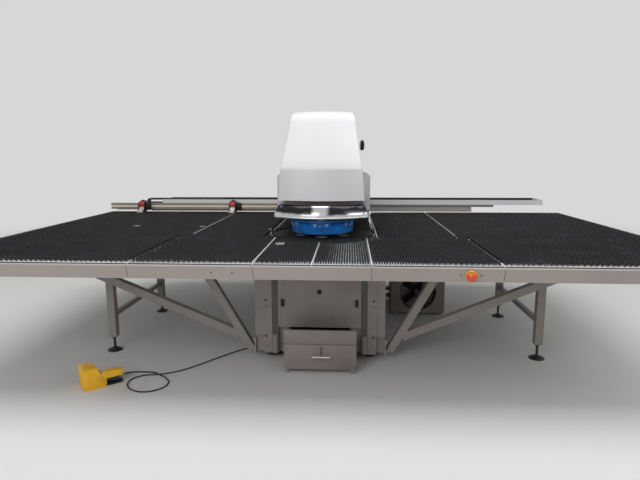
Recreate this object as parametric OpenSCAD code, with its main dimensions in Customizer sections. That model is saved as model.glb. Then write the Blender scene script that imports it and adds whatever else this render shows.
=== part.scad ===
// CNC turret punch press: C-shaped frame, six-station turret, brush tables,
// Y bridge with an X carriage and two sheet clamps, scrap drawer and foot pedal.
// Millimetres. X runs along the table front, +Y runs away from the operator, +Z is up.
// The origin lies on the floor, midway between the front apron and the frame's back.

/* [Machine] */
// Depth from the stop button's face to the back of the frame
machine_d = 4530; // [4500:10:5000]
// Width of the C-frame over its side plates
frame_w = 600; // [560:10:640]
// Thickness of the side plates
plate_t = 40; // [25:1:50]
// Thickness of the cross plates
web_t = 30; // [20:1:40]
// Height of the frame's underside above the floor
base_z = 50; // [40:1:70]
// Distance from the front apron to the frame's front edge
frame_front = 830; // [815:1:850]
// Distance from the front apron to the back of the throat
throat_back = 3300; // [3250:10:3400]
// Height of the upper arm's underside above the tray rims
throat_h = 210; // [205:1:240]
// Depth of the upper arm at its nose
arm_h = 410; // [380:5:430]
// Height of the column above the arm's nose
column_rise = 300; // [200:10:400]

/* [Table] */
// Width of the brush table
table_w = 5170; // [4900:10:5400]
// Depth of the brush table
table_d = 2846; // [2800:2:2900]
// Height of the tray rims above the floor
table_h = 930; // [922:1:934]
// Height of a tray
tray_h = 40; // [30:1:44]
// Thickness of the tray sheet
tray_t = 3; // [2:0.5:5]
// Height of the brush tips above the tray rims
brush_h = 25; // [15:1:26]
// Distance between two rows of brushes
row_pitch = 16.4; // [14:0.2:40]
// Width of one row of brushes at its foot
row_foot = 10; // [6:0.5:12]
// Width of one row of brushes at its tips
row_tip = 5; // [2:0.5:6]
// Half width of the front centre tray
seam_centre = 362; // [340:1:380]
// Distance from the centre to the outer front seam
seam_outer = 1151; // [1100:1:1200]
// Distance from the centre to the outer back seam
seam_back = 1080; // [1000:1:1150]
// Distance from the front apron to the seam between front and back trays
seam_row = 1020; // [980:5:1040]
// Gap between two trays
tray_gap = 3; // [1:0.5:6]
// Radius of the opening in the table round the turret
cutout_r = 430; // [425:1:440]
// Distance from the centre to a bridge slot
slot_x = 440; // [436:1:445]
// Width of a bridge slot
slot_w = 30; // [26:1:36]

/* [Table frame] */
// Height of the table's tubes
tube_h = 50; // [40:1:60]
// Width of a leg
leg_w = 60; // [50:1:80]
// Distance from the centre to a leg
leg_x = 1715; // [1600:5:1800]
// Distance from the front apron to the front legs
leg_front = 930; // [925:1:940]
// Distance from the front apron to the rear legs
leg_rear = 2000; // [1900:10:2100]
// Height of a leg's lower end above the floor
leg_z = 120; // [90:1:150]
// Height of the rail that joins a front leg to its rear leg
stretcher_z = 300; // [250:5:400]
// Lean of an apron's face from its top to its bottom
apron_lean = 30; // [0:1:40]
// Thickness of the apron sheet
apron_t = 3; // [2:0.5:4]
// Radius of an apron's rolled top edge
apron_r = 8; // [6:0.5:12]

/* [Turret] */
// Distance from the front apron to the turret's axis
turret_y = 1220; // [1215:1:1225]
// Number of stations
stations = 6; // [6:1:6]
// Radius of the circle that the stations lie on
station_r = 190; // [185:1:195]
// Radius of the upper turret's flange
turret_r = 280; // [270:1:290]
// Radius of the upper turret at its bottom
turret_foot_r = 250; // [246:1:260]
// Height of the upper turret's underside above the tray rims
turret_gap = 40; // [37:1:45]
// Height of the upper turret
turret_h = 115; // [110:1:118]
// Radius of the lower turret
die_disc_r = 400; // [380:1:410]
// Height of the lower turret's top face above the tray rims
die_disc_up = 20; // [18:1:21]
// Radius of the turret's spindle
spindle_r = 45; // [35:1:55]
// Radius of a punch holder
punch_r = 36; // [30:0.5:38]
// Radius of a die
die_r = 50; // [45:1:55]
// Teeth on the turret's gear
gear_teeth = 64; // [64:1:64]
// Teeth on the index motor's pinion
pinion_teeth = 18; // [18:1:20]
// Tooth size of the index gears
gear_module = 4; // [3.6:0.1:4]
// Stroke of the ram
stroke = 28; // [20:1:28]
// Radius of the ram's rod
ram_r = 45; // [35:1:48]
// Outer radius of the ram's cylinder
cylinder_r = 105; // [95:1:110]

/* [Hood and covers] */
// Thickness of hood and cover sheet
sheet_t = 3; // [2:0.5:4]
// Height of the hood's lower edge above the arm's underside
hood_up = 100; // [96:1:120]
// Height of the hood's fold line above its lower edge
hood_fold_h = 250; // [240:5:280]
// Height of the hood's top above its fold line
hood_top_h = 460; // [440:5:500]
// Half width of the hood at its lower edge
hood_low_w = 345; // [340:1:350]
// Half width of the hood at its fold line
hood_mid_w = 326; // [322:1:332]
// Half width of the hood at its top
hood_top_w = 262; // [250:1:280]
// Bow of the hood's front face
hood_bow = 60; // [30:1:80]
// Radius of the skirt's lower rim
skirt_low_r = 377; // [370:1:382]
// Radius of the skirt's upper edge
skirt_top_r = 350; // [345:1:355]
// Depth of the skirt's lower rim below the arm's underside
skirt_drop = 28; // [22:1:32]
// Gap between the skirt's top and the hood's lower edge
skirt_gap = 35; // [5:1:50]
// Distance from the centre to a side cover's face
cheek_x = 400; // [380:1:420]

/* [Bridge and carriage] */
// Distance from the front apron to the bridge beam's front face
bridge_y = 2820; // [2815:1:2830]
// Depth of the bridge beam
bridge_d = 160; // [140:5:180]
// Height of the bridge beam's underside above the tray rims
bridge_up = 30; // [30:1:32]
// Height of the bridge beam
bridge_h = 50; // [46:1:52]
// Distance from the table's left edge to the bridge beam
bridge_left_in = 485; // [400:5:600]
// Distance from the bridge beam to the table's right edge
bridge_right_in = 985; // [900:5:1100]
// Distance from the table's left edge to the chain tray
chain_left_in = 629; // [600:1:700]
// Distance from the chain tray to the table's right edge
chain_right_in = 209; // [150:1:300]
// Distance from the table's left edge to the X carriage
carriage_left_in = 49; // [40:1:80]
// Right end of the X carriage
carriage_right = 300; // [280:5:330]
// Height of the X carriage's underside above the tray rims
carriage_up = 59; // [56:1:62]
// Height of the X carriage
carriage_h = 67; // [60:1:70]
// Depth of the X carriage
carriage_d = 62; // [56:1:66]
// Distance from the table's left edge to the left clamp
clamp_left_in = 433; // [400:1:460]
// Position of the right clamp
clamp_right_x = -1101; // [-1150:1:-1050]
// Reach of the clamps in front of the carriage
clamp_reach = 116; // [100:1:118]
// Height of the lower jaw's underside above the brush tips
jaw_up = 2; // [2:0.5:2.5]

/* [Drawer, controls and pedal] */
// Width of the scrap drawer's front
drawer_w = 524; // [480:2:560]
// Height of the scrap drawer's front
drawer_h = 315; // [300:1:320]
// Height of the scrap drawer's underside
drawer_z = 30; // [20:1:40]
// Distance from the front apron to the drawer's front
drawer_front = 550; // [540:1:560]
// Position of the stop button along the apron
stop_x = 953; // [920:1:980]
// Radius of the stop button
stop_r = 30; // [24:1:32]
// Width of the foot pedal
pedal_w = 160; // [150:1:180]
// Length of the foot pedal
pedal_l = 265; // [255:1:280]
// Height of the pedal's guard
pedal_h = 146; // [140:1:160]
// Diameter of the pedal's cable
cable_d = 10; // [8:0.5:12]

/* [Hidden] */
$fn = 48;

paint = [0.72, 0.70, 0.66];
dark_paint = [0.25, 0.25, 0.26];
steel = [0.78, 0.79, 0.80];
zinc = [0.83, 0.84, 0.84];
black = [0.06, 0.06, 0.07];
blue = [0.10, 0.38, 0.68];
white = [0.92, 0.92, 0.91];
yellow = [0.93, 0.68, 0.08];

// Running clearance between pieces that move against each other
run = 0.3;
half_w = frame_w / 2;
inner_w = half_w - plate_t;

half_table = table_w / 2;
tray_z = table_h - tray_h;
tube_z = tray_z - tube_h;
apron_z = tube_z - apron_t;
brush_z = table_h + brush_h;
arm_z = table_h + throat_h;
arm_top = arm_z + arm_h;
column_top = arm_top + column_rise;
turret_z = table_h + turret_gap;
die_disc_z = table_h + die_disc_up;
hood_z = arm_z + hood_up;
hood_fold_z = hood_z + hood_fold_h;
hood_top_z = hood_fold_z + hood_top_h;
skirt_z = arm_z - skirt_drop;
bridge_z = table_h + bridge_up;
carriage_z = table_h + carriage_up;
jaw_z = brush_z + jaw_up;
bridge_left = -half_table + bridge_left_in;
bridge_right = half_table - bridge_right_in;
chain_left = -half_table + chain_left_in;
chain_right = half_table - chain_right_in;
carriage_left = -half_table + carriage_left_in;
clamp_left_x = -half_table + clamp_left_in;

// Stop button's outline, from its axis outwards, and how far it stands out of the leaning apron
lean_a = atan(apron_lean / (table_h - apron_r - apron_z));
stop_z = table_h - 48;
stop_gap = 20;
stop_neck = 14;
button_h = 22;
stop_in = (table_h - apron_r - stop_z) * tan(lean_a);
button_points = concat(
    [[0, 14], [stop_neck + run, 14], [stop_neck + run, 0], [stop_r - 4, 0]],
    [for (a = [-90:30:0]) [stop_r - 4 + 4 * cos(a), 4 + 4 * sin(a)]],
    [[stop_r - 3, 12], [stop_r - 10, 18], [stop_r - 20, button_h - 1], [0, button_h]]
);
stop_reach = max([for (p = button_points) p[0] * sin(lean_a) + (p[1] + stop_gap) * cos(lean_a)]);
front = -machine_d / 2 + stop_reach - stop_in;
frame_back = machine_d / 2;
axis_y = front + turret_y;
ram_y = axis_y + station_r;
turret_top = turret_z + turret_h;
lower_top = tray_z - 60;
column_y = front + throat_back;
wing_x = 505;
frame_y = front + frame_front;
slot_in = slot_x - slot_w / 2;
slot_out = slot_x + slot_w / 2;
tray_in = apron_t + apron_lean * (table_h - apron_r - tray_z) / (table_h - apron_r - tube_z) + 2 * run;
tray_y = front + tray_in;
tray_edge = half_table - tray_in;
table_back = front + table_d;

// Solid between two X planes from an outline in Y and Z
module along_x(x0, x1) {
    translate([x0, 0, 0]) rotate([90, 0, 90]) linear_extrude(x1 - x0) children();
}

// Solid between two Y planes from an outline in X and Z
module along_y(y0, y1) {
    translate([0, y1, 0]) rotate([90, 0, 0]) linear_extrude(y1 - y0) children();
}

// Box between two corners
module block(low, high) {
    translate(low) cube(high - low);
}

// The same piece on both sides of the machine
module both_sides() {
    children();
    mirror([1, 0, 0]) children();
}

// Points along an arc
function arc(cx, cy, r, a0, a1, steps) =
    [for (i = [0:steps]) let (a = a0 + (a1 - a0) * i / steps) [cx + r * cos(a), cy + r * sin(a)]];

// Outline of an involute gear whose first tooth points along +X
gear_angle = 20;
gear_play = 0.2;
function involute(a) = tan(a) * 180 / PI - a;
function flank(q, pitch, base, teeth) =
    90 / teeth - gear_play / pitch * 90 / PI + involute(gear_angle)
    - involute(acos(min(1, base / max(q, base))));
function tooth(k, teeth, m) =
    let (pitch = m * teeth / 2, base = pitch * cos(gear_angle), root = pitch - 1.25 * m, tip = pitch + m)
    let (radii = [root, pitch - 0.4 * m, pitch + 0.3 * m, tip], at = k * 360 / teeth)
    concat(
        [for (q = radii) let (a = at - flank(q, pitch, base, teeth)) [q * cos(a), q * sin(a)]],
        [for (i = [3:-1:0]) let (q = radii[i], a = at + flank(q, pitch, base, teeth)) [q * cos(a), q * sin(a)]]
    );
module gear_outline(teeth, m) {
    polygon([for (k = [0:teeth - 1]) each tooth(k, teeth, m)]);
}

// C-frame: two side plates joined by cross plates
throat_r = 80;
nose_y = front + 1080;
arm_slope_y = front + 2300;
module side_outline() {
    polygon(concat(
        [[frame_y, base_z], [frame_y, tube_z], [front + 60, tube_z], [front + 60, tray_z]],
        arc(column_y - throat_r, tray_z + throat_r, throat_r, -90, 0, 6),
        arc(column_y - throat_r, arm_z - throat_r, throat_r, 0, 90, 6),
        [[nose_y, arm_z], [nose_y, arm_top - 70], [nose_y + 70, arm_top], [arm_slope_y, arm_top],
         [column_y, column_top], [frame_back - 80, column_top], [frame_back, column_top - 80],
         [frame_back, base_z]]
    ));
}

module roof_outline() {
    polygon([
        [nose_y + 70, arm_top], [arm_slope_y, arm_top], [column_y, column_top],
        [frame_back - 80, column_top], [frame_back - 80, column_top - web_t],
        [column_y + 5, column_top - web_t], [arm_slope_y + 5, arm_top - web_t], [nose_y + 70, arm_top - web_t]
    ]);
}

bay_back = front + 1760;
shelf_z = tray_z - 130;
rail_start = front + 1450;
rail_end = column_y - 40;
lug_front = front + 960;
lug_back = frame_back - 130;
lug_x = 385;
chute_r = 60;
guide_r = ram_r + 25;
pin_a = 135;
pinion_d = gear_module * (gear_teeth + pinion_teeth) / 2;
motor_x = pinion_d * cos(pin_a);
motor_y = axis_y + pinion_d * sin(pin_a);
drawer_lip_z = 262;
hood_back = front + 2050;
hinge_y = hood_back + 20;
hinge_z = arm_top + 50;
lug_in = 141;
gland_y = front + 1100;
gland_z = 130;
gland_h = 12;

module c_frame() {
    color(paint) {
        both_sides() {
            along_x(inner_w, half_w) side_outline();
            block([inner_w - 20, frame_y, drawer_lip_z - 30], [inner_w + 1, bay_back, drawer_lip_z - run]);
        }
        translate([-half_w - gland_h, gland_y, gland_z]) rotate([0, 90, 0]) cylinder(h = gland_h + 1, r = 14);
    }
}

// Cross plates of the C-frame, with the ram's guide tube and the hood's hinge pin
module frame_webs() {
    color(paint) difference() {
        union() {
            block([-inner_w, frame_y, lower_top - web_t], [inner_w, column_y, lower_top]);
            block([-inner_w, bay_back, base_z], [inner_w, frame_back, base_z + web_t]);
            block([-inner_w, bay_back, base_z], [inner_w, bay_back + web_t, lower_top]);
            block([-inner_w, column_y, lower_top - web_t], [inner_w, column_y + web_t, arm_z + web_t]);
            block([-inner_w, frame_back - web_t, base_z], [inner_w, frame_back, column_top - 80]);
            block([-inner_w, nose_y, arm_z], [inner_w, column_y + web_t, arm_z + web_t]);
            block([-inner_w, nose_y, arm_z], [inner_w, nose_y + web_t, arm_top - 70]);
            along_x(-inner_w, inner_w) roof_outline();
            translate([0, ram_y, arm_z]) cylinder(h = arm_h, r = guide_r);
            both_sides() block([lug_in, hinge_y - 14, arm_top - 2], [lug_in + 16, hinge_y + 14, hinge_z + 14]);
            translate([-lug_in - 16, hinge_y, hinge_z]) rotate([0, 90, 0]) cylinder(h = 2 * lug_in + 32, r = 8);
        }
        translate([0, ram_y, arm_z - 1]) cylinder(h = arm_h + 2, r = ram_r + run);
        translate([0, axis_y, lower_top - web_t - 1]) cylinder(h = web_t + 2, r = 60 + run);
        translate([0, ram_y, lower_top - web_t - 1]) cylinder(h = web_t + 2, r = chute_r);
        translate([motor_x, motor_y, arm_z - 1]) cylinder(h = web_t + 2, r = 18);
    }
}

// Brackets outside the side plates: wings behind the base covers, tray bearers, rail shelves, foot lugs
module frame_brackets() {
    color(paint) both_sides() difference() {
        union() {
            block([half_w, frame_y, base_z + 10], [wing_x, frame_y + 20, tube_z]);
            block([half_w, frame_y, lower_top - 50], [wing_x, front + 960, tray_z - 0.5]);
            block([slot_x, front + 950, tube_z], [wing_x, slot_start - 20, tray_z - 0.5]);
            block([half_w, front + 1500, shelf_z - 20], [500, rail_end, shelf_z]);
            for (y = [front + 1520, front + 2300, front + 3100])
                along_y(y, y + 20)
                    polygon([[half_w, shelf_z - 200], [500, shelf_z - 40], [500, shelf_z - 10], [half_w, shelf_z - 10]]);
            for (y = [lug_front, lug_back])
                block([half_w, y - 60, base_z], [half_w + 140, y + 60, base_z + 30]);
        }
        for (y = [lug_front, lug_back])
            translate([lug_x, y, base_z - 1]) cylinder(h = 32, r = 14);
    }
}

// Stepped levelling mounts under the foot lugs
module machine_feet() {
    color(dark_paint)
    for (x = [-lug_x, lug_x], y = [lug_front, lug_back])
        translate([x, y, 0]) difference() {
            union() {
                cylinder(h = 18, r = 75);
                cylinder(h = base_z, r = 45);
            }
            translate([0, 0, -1]) cylinder(h = base_z + 2, r = 14);
        }
}

// Centre cover of the base, a folded sheet with a lock in its middle
cover_w = 319.5;
cover_y = front + 775;
cover_z = 277;
lock_z = 560;
latch_z = 470;
module base_front_cover() {
    color(paint) difference() {
        block([-cover_w, cover_y, cover_z], [cover_w, frame_y, tube_z - 2]);
        block([-cover_w + sheet_t, cover_y + sheet_t, cover_z + sheet_t],
              [cover_w - sheet_t, frame_y + 1, tube_z - 2 - sheet_t]);
        translate([0, cover_y - 1, lock_z]) rotate([-90, 0, 0]) cylinder(h = 10, r = 14 + run);
        for (s = [-1, 1])
            translate([s * 286, cover_y - 1, latch_z]) rotate([-90, 0, 0]) cylinder(h = 10, r = 6 + run);
    }
}

// Round lock and the two side latches of the centre cover
module cover_locks() {
    color(black) {
        translate([0, cover_y - 8, lock_z]) rotate([-90, 0, 0]) {
            cylinder(h = 8, r = 18);
            cylinder(h = 30, r = 14);
        }
        for (s = [-1, 1])
            translate([s * 286, cover_y, latch_z]) {
                rotate([-90, 0, 0]) cylinder(h = 24, r = 6);
                translate([-12, -14, -26]) cube([24, 14, 52]);
                translate([-s * 4 - 8, -22, -8]) cube([16, 8, 40]);
            }
    }
}

// Folded covers beside the centre cover, each with a rounded post
fascia_y = front + 780;
post_y = front + 790;
vent_z = 212;
module fascia() {
    color(paint) difference() {
        union() {
            block([370, fascia_y, base_z + 12], [440, frame_y, tube_z]);
            block([440, post_y, 200], [wing_x, frame_y, tube_z]);
            block([320, post_y, base_z + 14], [370, frame_y, tube_z]);
            translate([345, post_y, base_z + 14]) cylinder(h = vent_z - base_z - 14, r = 24.9);
        }
        block([370 + sheet_t, fascia_y + sheet_t, base_z + 15], [440 - sheet_t, frame_y + 1, tube_z - sheet_t]);
        block([440, post_y + sheet_t, 203], [wing_x - sheet_t, frame_y + 1, tube_z - sheet_t]);
        for (z = [200, 490])
            translate([418, fascia_y - 1, z]) rotate([-90, 0, 0]) cylinder(h = 10, r = 9);
        for (x = [405, 418, 431])
            translate([x, fascia_y - 1, 440]) rotate([-90, 0, 0]) cylinder(h = 10, r = 4);
    }
}
module fascia_right() { fascia(); }
module fascia_left() { mirror([1, 0, 0]) fascia(); }

// Slotted dark strips on the posts
slot_step = 12;
module vent_strips() {
    color(dark_paint) both_sides() difference() {
        block([323, post_y - 6, vent_z + 2], [367, post_y, tube_z - 2]);
        for (z = [vent_z + 12:slot_step:tube_z - 14])
            block([329, post_y - 7, z], [361, post_y - 2, z + 5]);
    }
}

// Side covers of the upper arm, open towards the arm
cheek_front = front + 1390;
cheek_back = column_y - 50;
cheek_top = arm_z + 320;
module cheek_outline(wall) {
    polygon([
        [half_w - (wall > 0 ? 1 : 0), arm_z - 10 + wall], [cheek_x - wall, arm_z - 10 + wall],
        [cheek_x - wall, cheek_top - 45 - wall / 2], [cheek_x - 28 - wall / 2, cheek_top - 14 - wall],
        [half_w - (wall > 0 ? 1 : 0), cheek_top - wall]
    ]);
}
module arm_cheek() {
    color(paint) difference() {
        along_y(cheek_front, cheek_back) cheek_outline(0);
        along_y(cheek_front + sheet_t, cheek_back - sheet_t) cheek_outline(sheet_t);
    }
}
module arm_cheek_right() { arm_cheek(); }
module arm_cheek_left() { mirror([1, 0, 0]) arm_cheek(); }

// Hood over the nose: a shell between outlines at four heights, open below and behind its lower part
hood_front = front + 955;
hood_step_y = front + 1385;
hood_step_z = hood_fold_z - 15;
function hood_points(w, y0, y1, wall) =
    let (r = 22, n = 10)
    concat(
        [for (i = [0:n]) let (t = -1 + 2 * i / n) [t * (w - wall - r), y0 + wall + hood_bow * t * t]],
        arc(w - wall - r, y0 + wall + hood_bow + r, r, -60, 0, 3),
        [[w - wall, y1 - wall], [-(w - wall), y1 - wall]],
        arc(-(w - wall - r), y0 + wall + hood_bow + r, r, 180, 240, 3)
    );
module hood_level(z, w, y0, y1, wall) {
    translate([0, 0, z]) linear_extrude(0.5) polygon(hood_points(w, y0, y1, wall));
}
module hood_body(wall) {
    hull() {
        hood_level(hood_z - (wall > 0 ? 1 : 0), hood_low_w, hood_front, hood_back, wall);
        hood_level(hood_fold_z, hood_mid_w, hood_front + 20, hood_back, wall);
    }
    hull() {
        hood_level(hood_fold_z, hood_mid_w, hood_front + 20, hood_back, wall);
        hood_level(hood_top_z - 150 - wall, hood_top_w + 20, hood_front + 205, hood_back, wall);
        hood_level(hood_top_z - 60 - wall, hood_top_w + 8, hood_front + 260, front + 1800, wall);
        hood_level(hood_top_z - 20 - wall, hood_top_w - 8, hood_front + 300, front + 1680, wall);
        hood_level(hood_top_z - wall - 0.5, hood_top_w - 45, hood_front + 350, front + 1600, wall);
    }
}
knob_y = front + 1350;
knob_z = hood_fold_z + 186;
knob_pad_x = hood_mid_w + (hood_top_w - hood_mid_w) * (knob_z - 50 - hood_fold_z) / (hood_top_z - hood_fold_z) + 4;
module nose_hood() {
    color(white) difference() {
        union() {
            difference() {
                hood_body(0);
                hood_body(sheet_t);
                block([-500, hood_step_y, hood_z - 10], [500, hood_back + 10, hood_step_z]);
                block([-half_w - 4, hood_back - 20, hood_step_z - 1], [half_w + 4, hood_back + 10, arm_top + 6]);
            }
            translate([knob_pad_x - 30, knob_y, knob_z]) rotate([0, 90, 0]) cylinder(h = 30, r = 52);
            both_sides()
                block([lug_in - 21, hood_back - 2, hinge_z - 30], [lug_in - 1, hinge_y + 14, hinge_z + 14]);
        }
        translate([knob_pad_x - 60, knob_y, knob_z]) rotate([0, 90, 0]) cylinder(h = 80, r = 10 + run);
        translate([-160, hinge_y, hinge_z]) rotate([0, 90, 0]) cylinder(h = 320, r = 8 + run);
    }
}

// Round turn knob that locks the hood
module hood_knob() {
    color(black) translate([knob_pad_x + run, knob_y, knob_z]) rotate([0, 90, 0]) {
        difference() {
            cylinder(h = 24, r = 44);
            for (a = [0:30:330])
                rotate([0, 0, a]) translate([47, 0, -1]) cylinder(h = 30, r = 7);
        }
        translate([0, 0, -40]) cylinder(h = 40, r = 10);
    }
}

// Flared stainless skirt with a rolled rim and a top flange that fits round the arm's nose
skirt_y = front + 1252;
skirt_top = hood_z - skirt_gap;
skirt_t = 2.5;
rim_r = 9;
module hood_skirt() {
    color(steel) difference() {
        translate([0, skirt_y, 0]) rotate([0, 0, 159]) rotate_extrude(angle = 222, $fn = 96) {
            polygon([
                [skirt_low_r - skirt_t, skirt_z], [skirt_low_r, skirt_z],
                [skirt_low_r - 6, skirt_z + 40], [skirt_top_r, skirt_top], [0, skirt_top],
                [0, skirt_top - skirt_t], [skirt_top_r - skirt_t, skirt_top - skirt_t],
                [skirt_low_r - 6 - skirt_t, skirt_z + 40]
            ]);
            translate([skirt_low_r - rim_r + 1, skirt_z]) circle(r = rim_r, $fn = 24);
        }
        block([-half_w, nose_y, skirt_z - 20], [half_w, skirt_y + 400, hood_z]);
    }
}

// Ram cylinder, standing on the arm over the strike station
cyl_h = 310;
cyl_bore = cylinder_r - 20;
module ram_cylinder() {
    color(dark_paint) translate([0, ram_y, arm_top]) rotate_extrude() polygon([
        [ram_r + run, 0], [cylinder_r + 25, 0], [cylinder_r + 25, 25], [cylinder_r, 25],
        [cylinder_r, cyl_h], [0, cyl_h], [0, cyl_h - 30], [cyl_bore, cyl_h - 30],
        [cyl_bore, 45], [ram_r + run, 45]
    ]);
}

// Rod and piston of the ram, with a striker on its lower end
striker_z = turret_top + 9 + stroke;
module ram_striker() {
    color(steel) translate([0, ram_y, 0]) {
        translate([0, 0, striker_z]) cylinder(h = arm_top + 160 - striker_z, r = ram_r);
        translate([0, 0, arm_top + 160]) cylinder(h = 70, r = cyl_bore - run);
    }
}

// Fixed spindle that carries the upper turret from the arm
module turret_spindle() {
    color(steel) translate([0, axis_y, 0]) {
        translate([0, 0, arm_z - 15]) cylinder(h = 15, r = 105);
        translate([0, 0, turret_z + 2]) cylinder(h = arm_z - 15 - turret_z - 2, r = spindle_r);
        translate([0, 0, turret_z + 2]) cylinder(h = 17.7, r = spindle_r + 20);
    }
}

// Upper turret: a fluted casting with a boss at each station
scoop_low = 22;
scoop_top = 76;
flange_h = 14;
pad_r = turret_foot_r + 4;
pad_z = 38;
module upper_turret() {
    color(blue) translate([0, axis_y, turret_z]) difference() {
        rotate_extrude($fn = 96) polygon([
            [spindle_r + run, 20], [spindle_r + 21, 20], [spindle_r + 21, 0], [turret_foot_r - 6, 0],
            [turret_foot_r, 6], [turret_foot_r + 16, turret_h - flange_h], [turret_r, turret_h - flange_h],
            [turret_r, turret_h - 3], [turret_r - 3, turret_h], [spindle_r + run, turret_h]
        ]);
        for (k = [0:stations - 1]) rotate([0, 0, k * 360 / stations]) {
            translate([turret_r + 8, 0, 12])
                cylinder(h = turret_h - flange_h - 12, r1 = scoop_low, r2 = scoop_top);
            for (s = [-1, 1]) rotate([0, 0, s * 20])
                translate([turret_foot_r + 28, 0, 22]) cylinder(h = turret_h - flange_h - 30, r1 = 8, r2 = 26);
        }
        for (k = [0:stations - 1]) rotate([0, 0, 90 + k * 360 / stations]) {
            translate([station_r, 0, -1]) cylinder(h = turret_h + 2, r = punch_r + run);
            translate([pad_r, -16, pad_z]) cube([40, 32, 38]);
        }
    }
}

// Gear on top of the upper turret
gear_z = turret_top + 15;
gear_h = 18;
module turret_gear() {
    color(steel) translate([0, axis_y, turret_top]) difference() {
        union() {
            cylinder(h = 15, r = 92);
            translate([0, 0, 15]) rotate([0, 0, pin_a])
                linear_extrude(gear_h) gear_outline(gear_teeth, gear_module);
        }
        translate([0, 0, -1]) cylinder(h = 40, r = spindle_r + run);
    }
}

// Punch holders in the stations, and the square clamp block on each boss
module punch_holders() {
    translate([0, axis_y, 0]) for (k = [0:stations - 1]) rotate([0, 0, 90 + k * 360 / stations]) {
        color(steel) translate([station_r, 0, 0]) {
            translate([0, 0, turret_z + 3]) cylinder(h = turret_h - 3, r = punch_r);
            translate([0, 0, turret_top]) cylinder(h = 8, r = punch_r + 4);
        }
        color(zinc) difference() {
            translate([pad_r + 0.1, -14, turret_z + pad_z + 2]) cube([12, 28, 34]);
            translate([pad_r + 5, 0, turret_z + pad_z + 19]) rotate([0, 90, 0]) cylinder(h = 30, r = 6);
        }
    }
}

// Lower turret: a flat die disc on its hub and shaft
module lower_turret() {
    color(black) translate([0, axis_y, 0]) difference() {
        rotate_extrude($fn = 96) polygon([
            [0, lower_top - 120], [60, lower_top - 120], [60, lower_top + run], [120, lower_top + run],
            [120, tray_z + 15], [die_disc_r - 4, tray_z + 15], [die_disc_r, tray_z + 19],
            [die_disc_r, die_disc_z - 4], [die_disc_r - 4, die_disc_z], [0, die_disc_z]
        ]);
        for (k = [0:stations - 1]) rotate([0, 0, 90 + k * 360 / stations]) translate([station_r, 0, 0]) {
            translate([0, 0, die_disc_z - 15]) cylinder(h = 20, r = die_r + run);
            translate([0, 0, tray_z]) cylinder(h = 80, r = 24);
        }
    }
}

// Dies seated in the lower turret, each with a round hole
module dies() {
    color(steel) translate([0, axis_y, die_disc_z - 15])
    for (k = [0:stations - 1]) rotate([0, 0, 90 + k * 360 / stations]) translate([station_r, 0, 0])
        difference() {
            cylinder(h = 17, r = die_r);
            translate([0, 0, -1]) cylinder(h = 20, r = 6 + 2.5 * k);
        }
}

// Index motor inside the arm and its pinion below
module index_motor() {
    color(dark_paint) translate([motor_x, motor_y, arm_z + web_t]) {
        cylinder(h = 190, r = 50);
        translate([0, 0, 190]) cylinder(h = 40, r = 34);
    }
}
module index_pinion() {
    color(steel) translate([motor_x, motor_y, gear_z]) {
        rotate([0, 0, pin_a + 180 + 180 / pinion_teeth])
            linear_extrude(gear_h) gear_outline(pinion_teeth, gear_module);
        cylinder(h = arm_z + web_t - gear_z, r = 12);
    }
}

// Apron sheets round the table, with a rolled top edge and a flange under the tubes
flange_y = 90;
module apron_outline() {
    polygon(concat(
        [[12.5, table_h]],
        arc(apron_r, table_h - apron_r, apron_r, 90, 180, 6),
        [[apron_lean, apron_z], [flange_y, apron_z], [flange_y, tube_z],
         [apron_lean + apron_t, tube_z]],
        arc(apron_r, table_h - apron_r, apron_r - apron_t, 180, 90, 6),
        [[12.5, table_h - apron_t]]
    ));
}
module front_apron(x0, x1) {
    along_x(x0, x1) translate([front, 0]) apron_outline();
}
module apron_holes(points) {
    for (x = points)
        translate([x, front - 5, table_h - 50]) rotate([-90, 0, 0]) cylinder(h = 40, r = 4);
}
module apron_centre() {
    color(paint) front_apron(-seam_centre + tray_gap / 2, seam_centre - tray_gap / 2);
}
module inner_apron() {
    front_apron(seam_centre + tray_gap / 2, seam_outer - tray_gap / 2);
}
module apron_inner_left() {
    color(paint) difference() {
        mirror([1, 0, 0]) inner_apron();
        apron_holes([-620, -490]);
    }
}
module apron_inner_right() {
    color(paint) difference() {
        inner_apron();
        apron_holes([stop_x - 62, stop_x + 62]);
    }
}
module outer_apron() {
    difference() {
        front_apron(seam_outer + tray_gap / 2, half_table);
        translate([half_table, front, 0]) rotate([0, 0, 45])
            translate([-1, -200, apron_z - 10]) cube([400, 400, 200]);
    }
    difference() {
        translate([half_table, front, 0]) rotate([0, 0, 90])
            along_x(0, table_d) apron_outline();
        translate([half_table, front, 0]) rotate([0, 0, 45])
            translate([-401, -200, apron_z - 10]) cube([401, 400, 200]);
    }
}
module apron_outer_right() { color(paint) outer_apron(); }
module apron_outer_left() { color(paint) mirror([1, 0, 0]) outer_apron(); }

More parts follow.
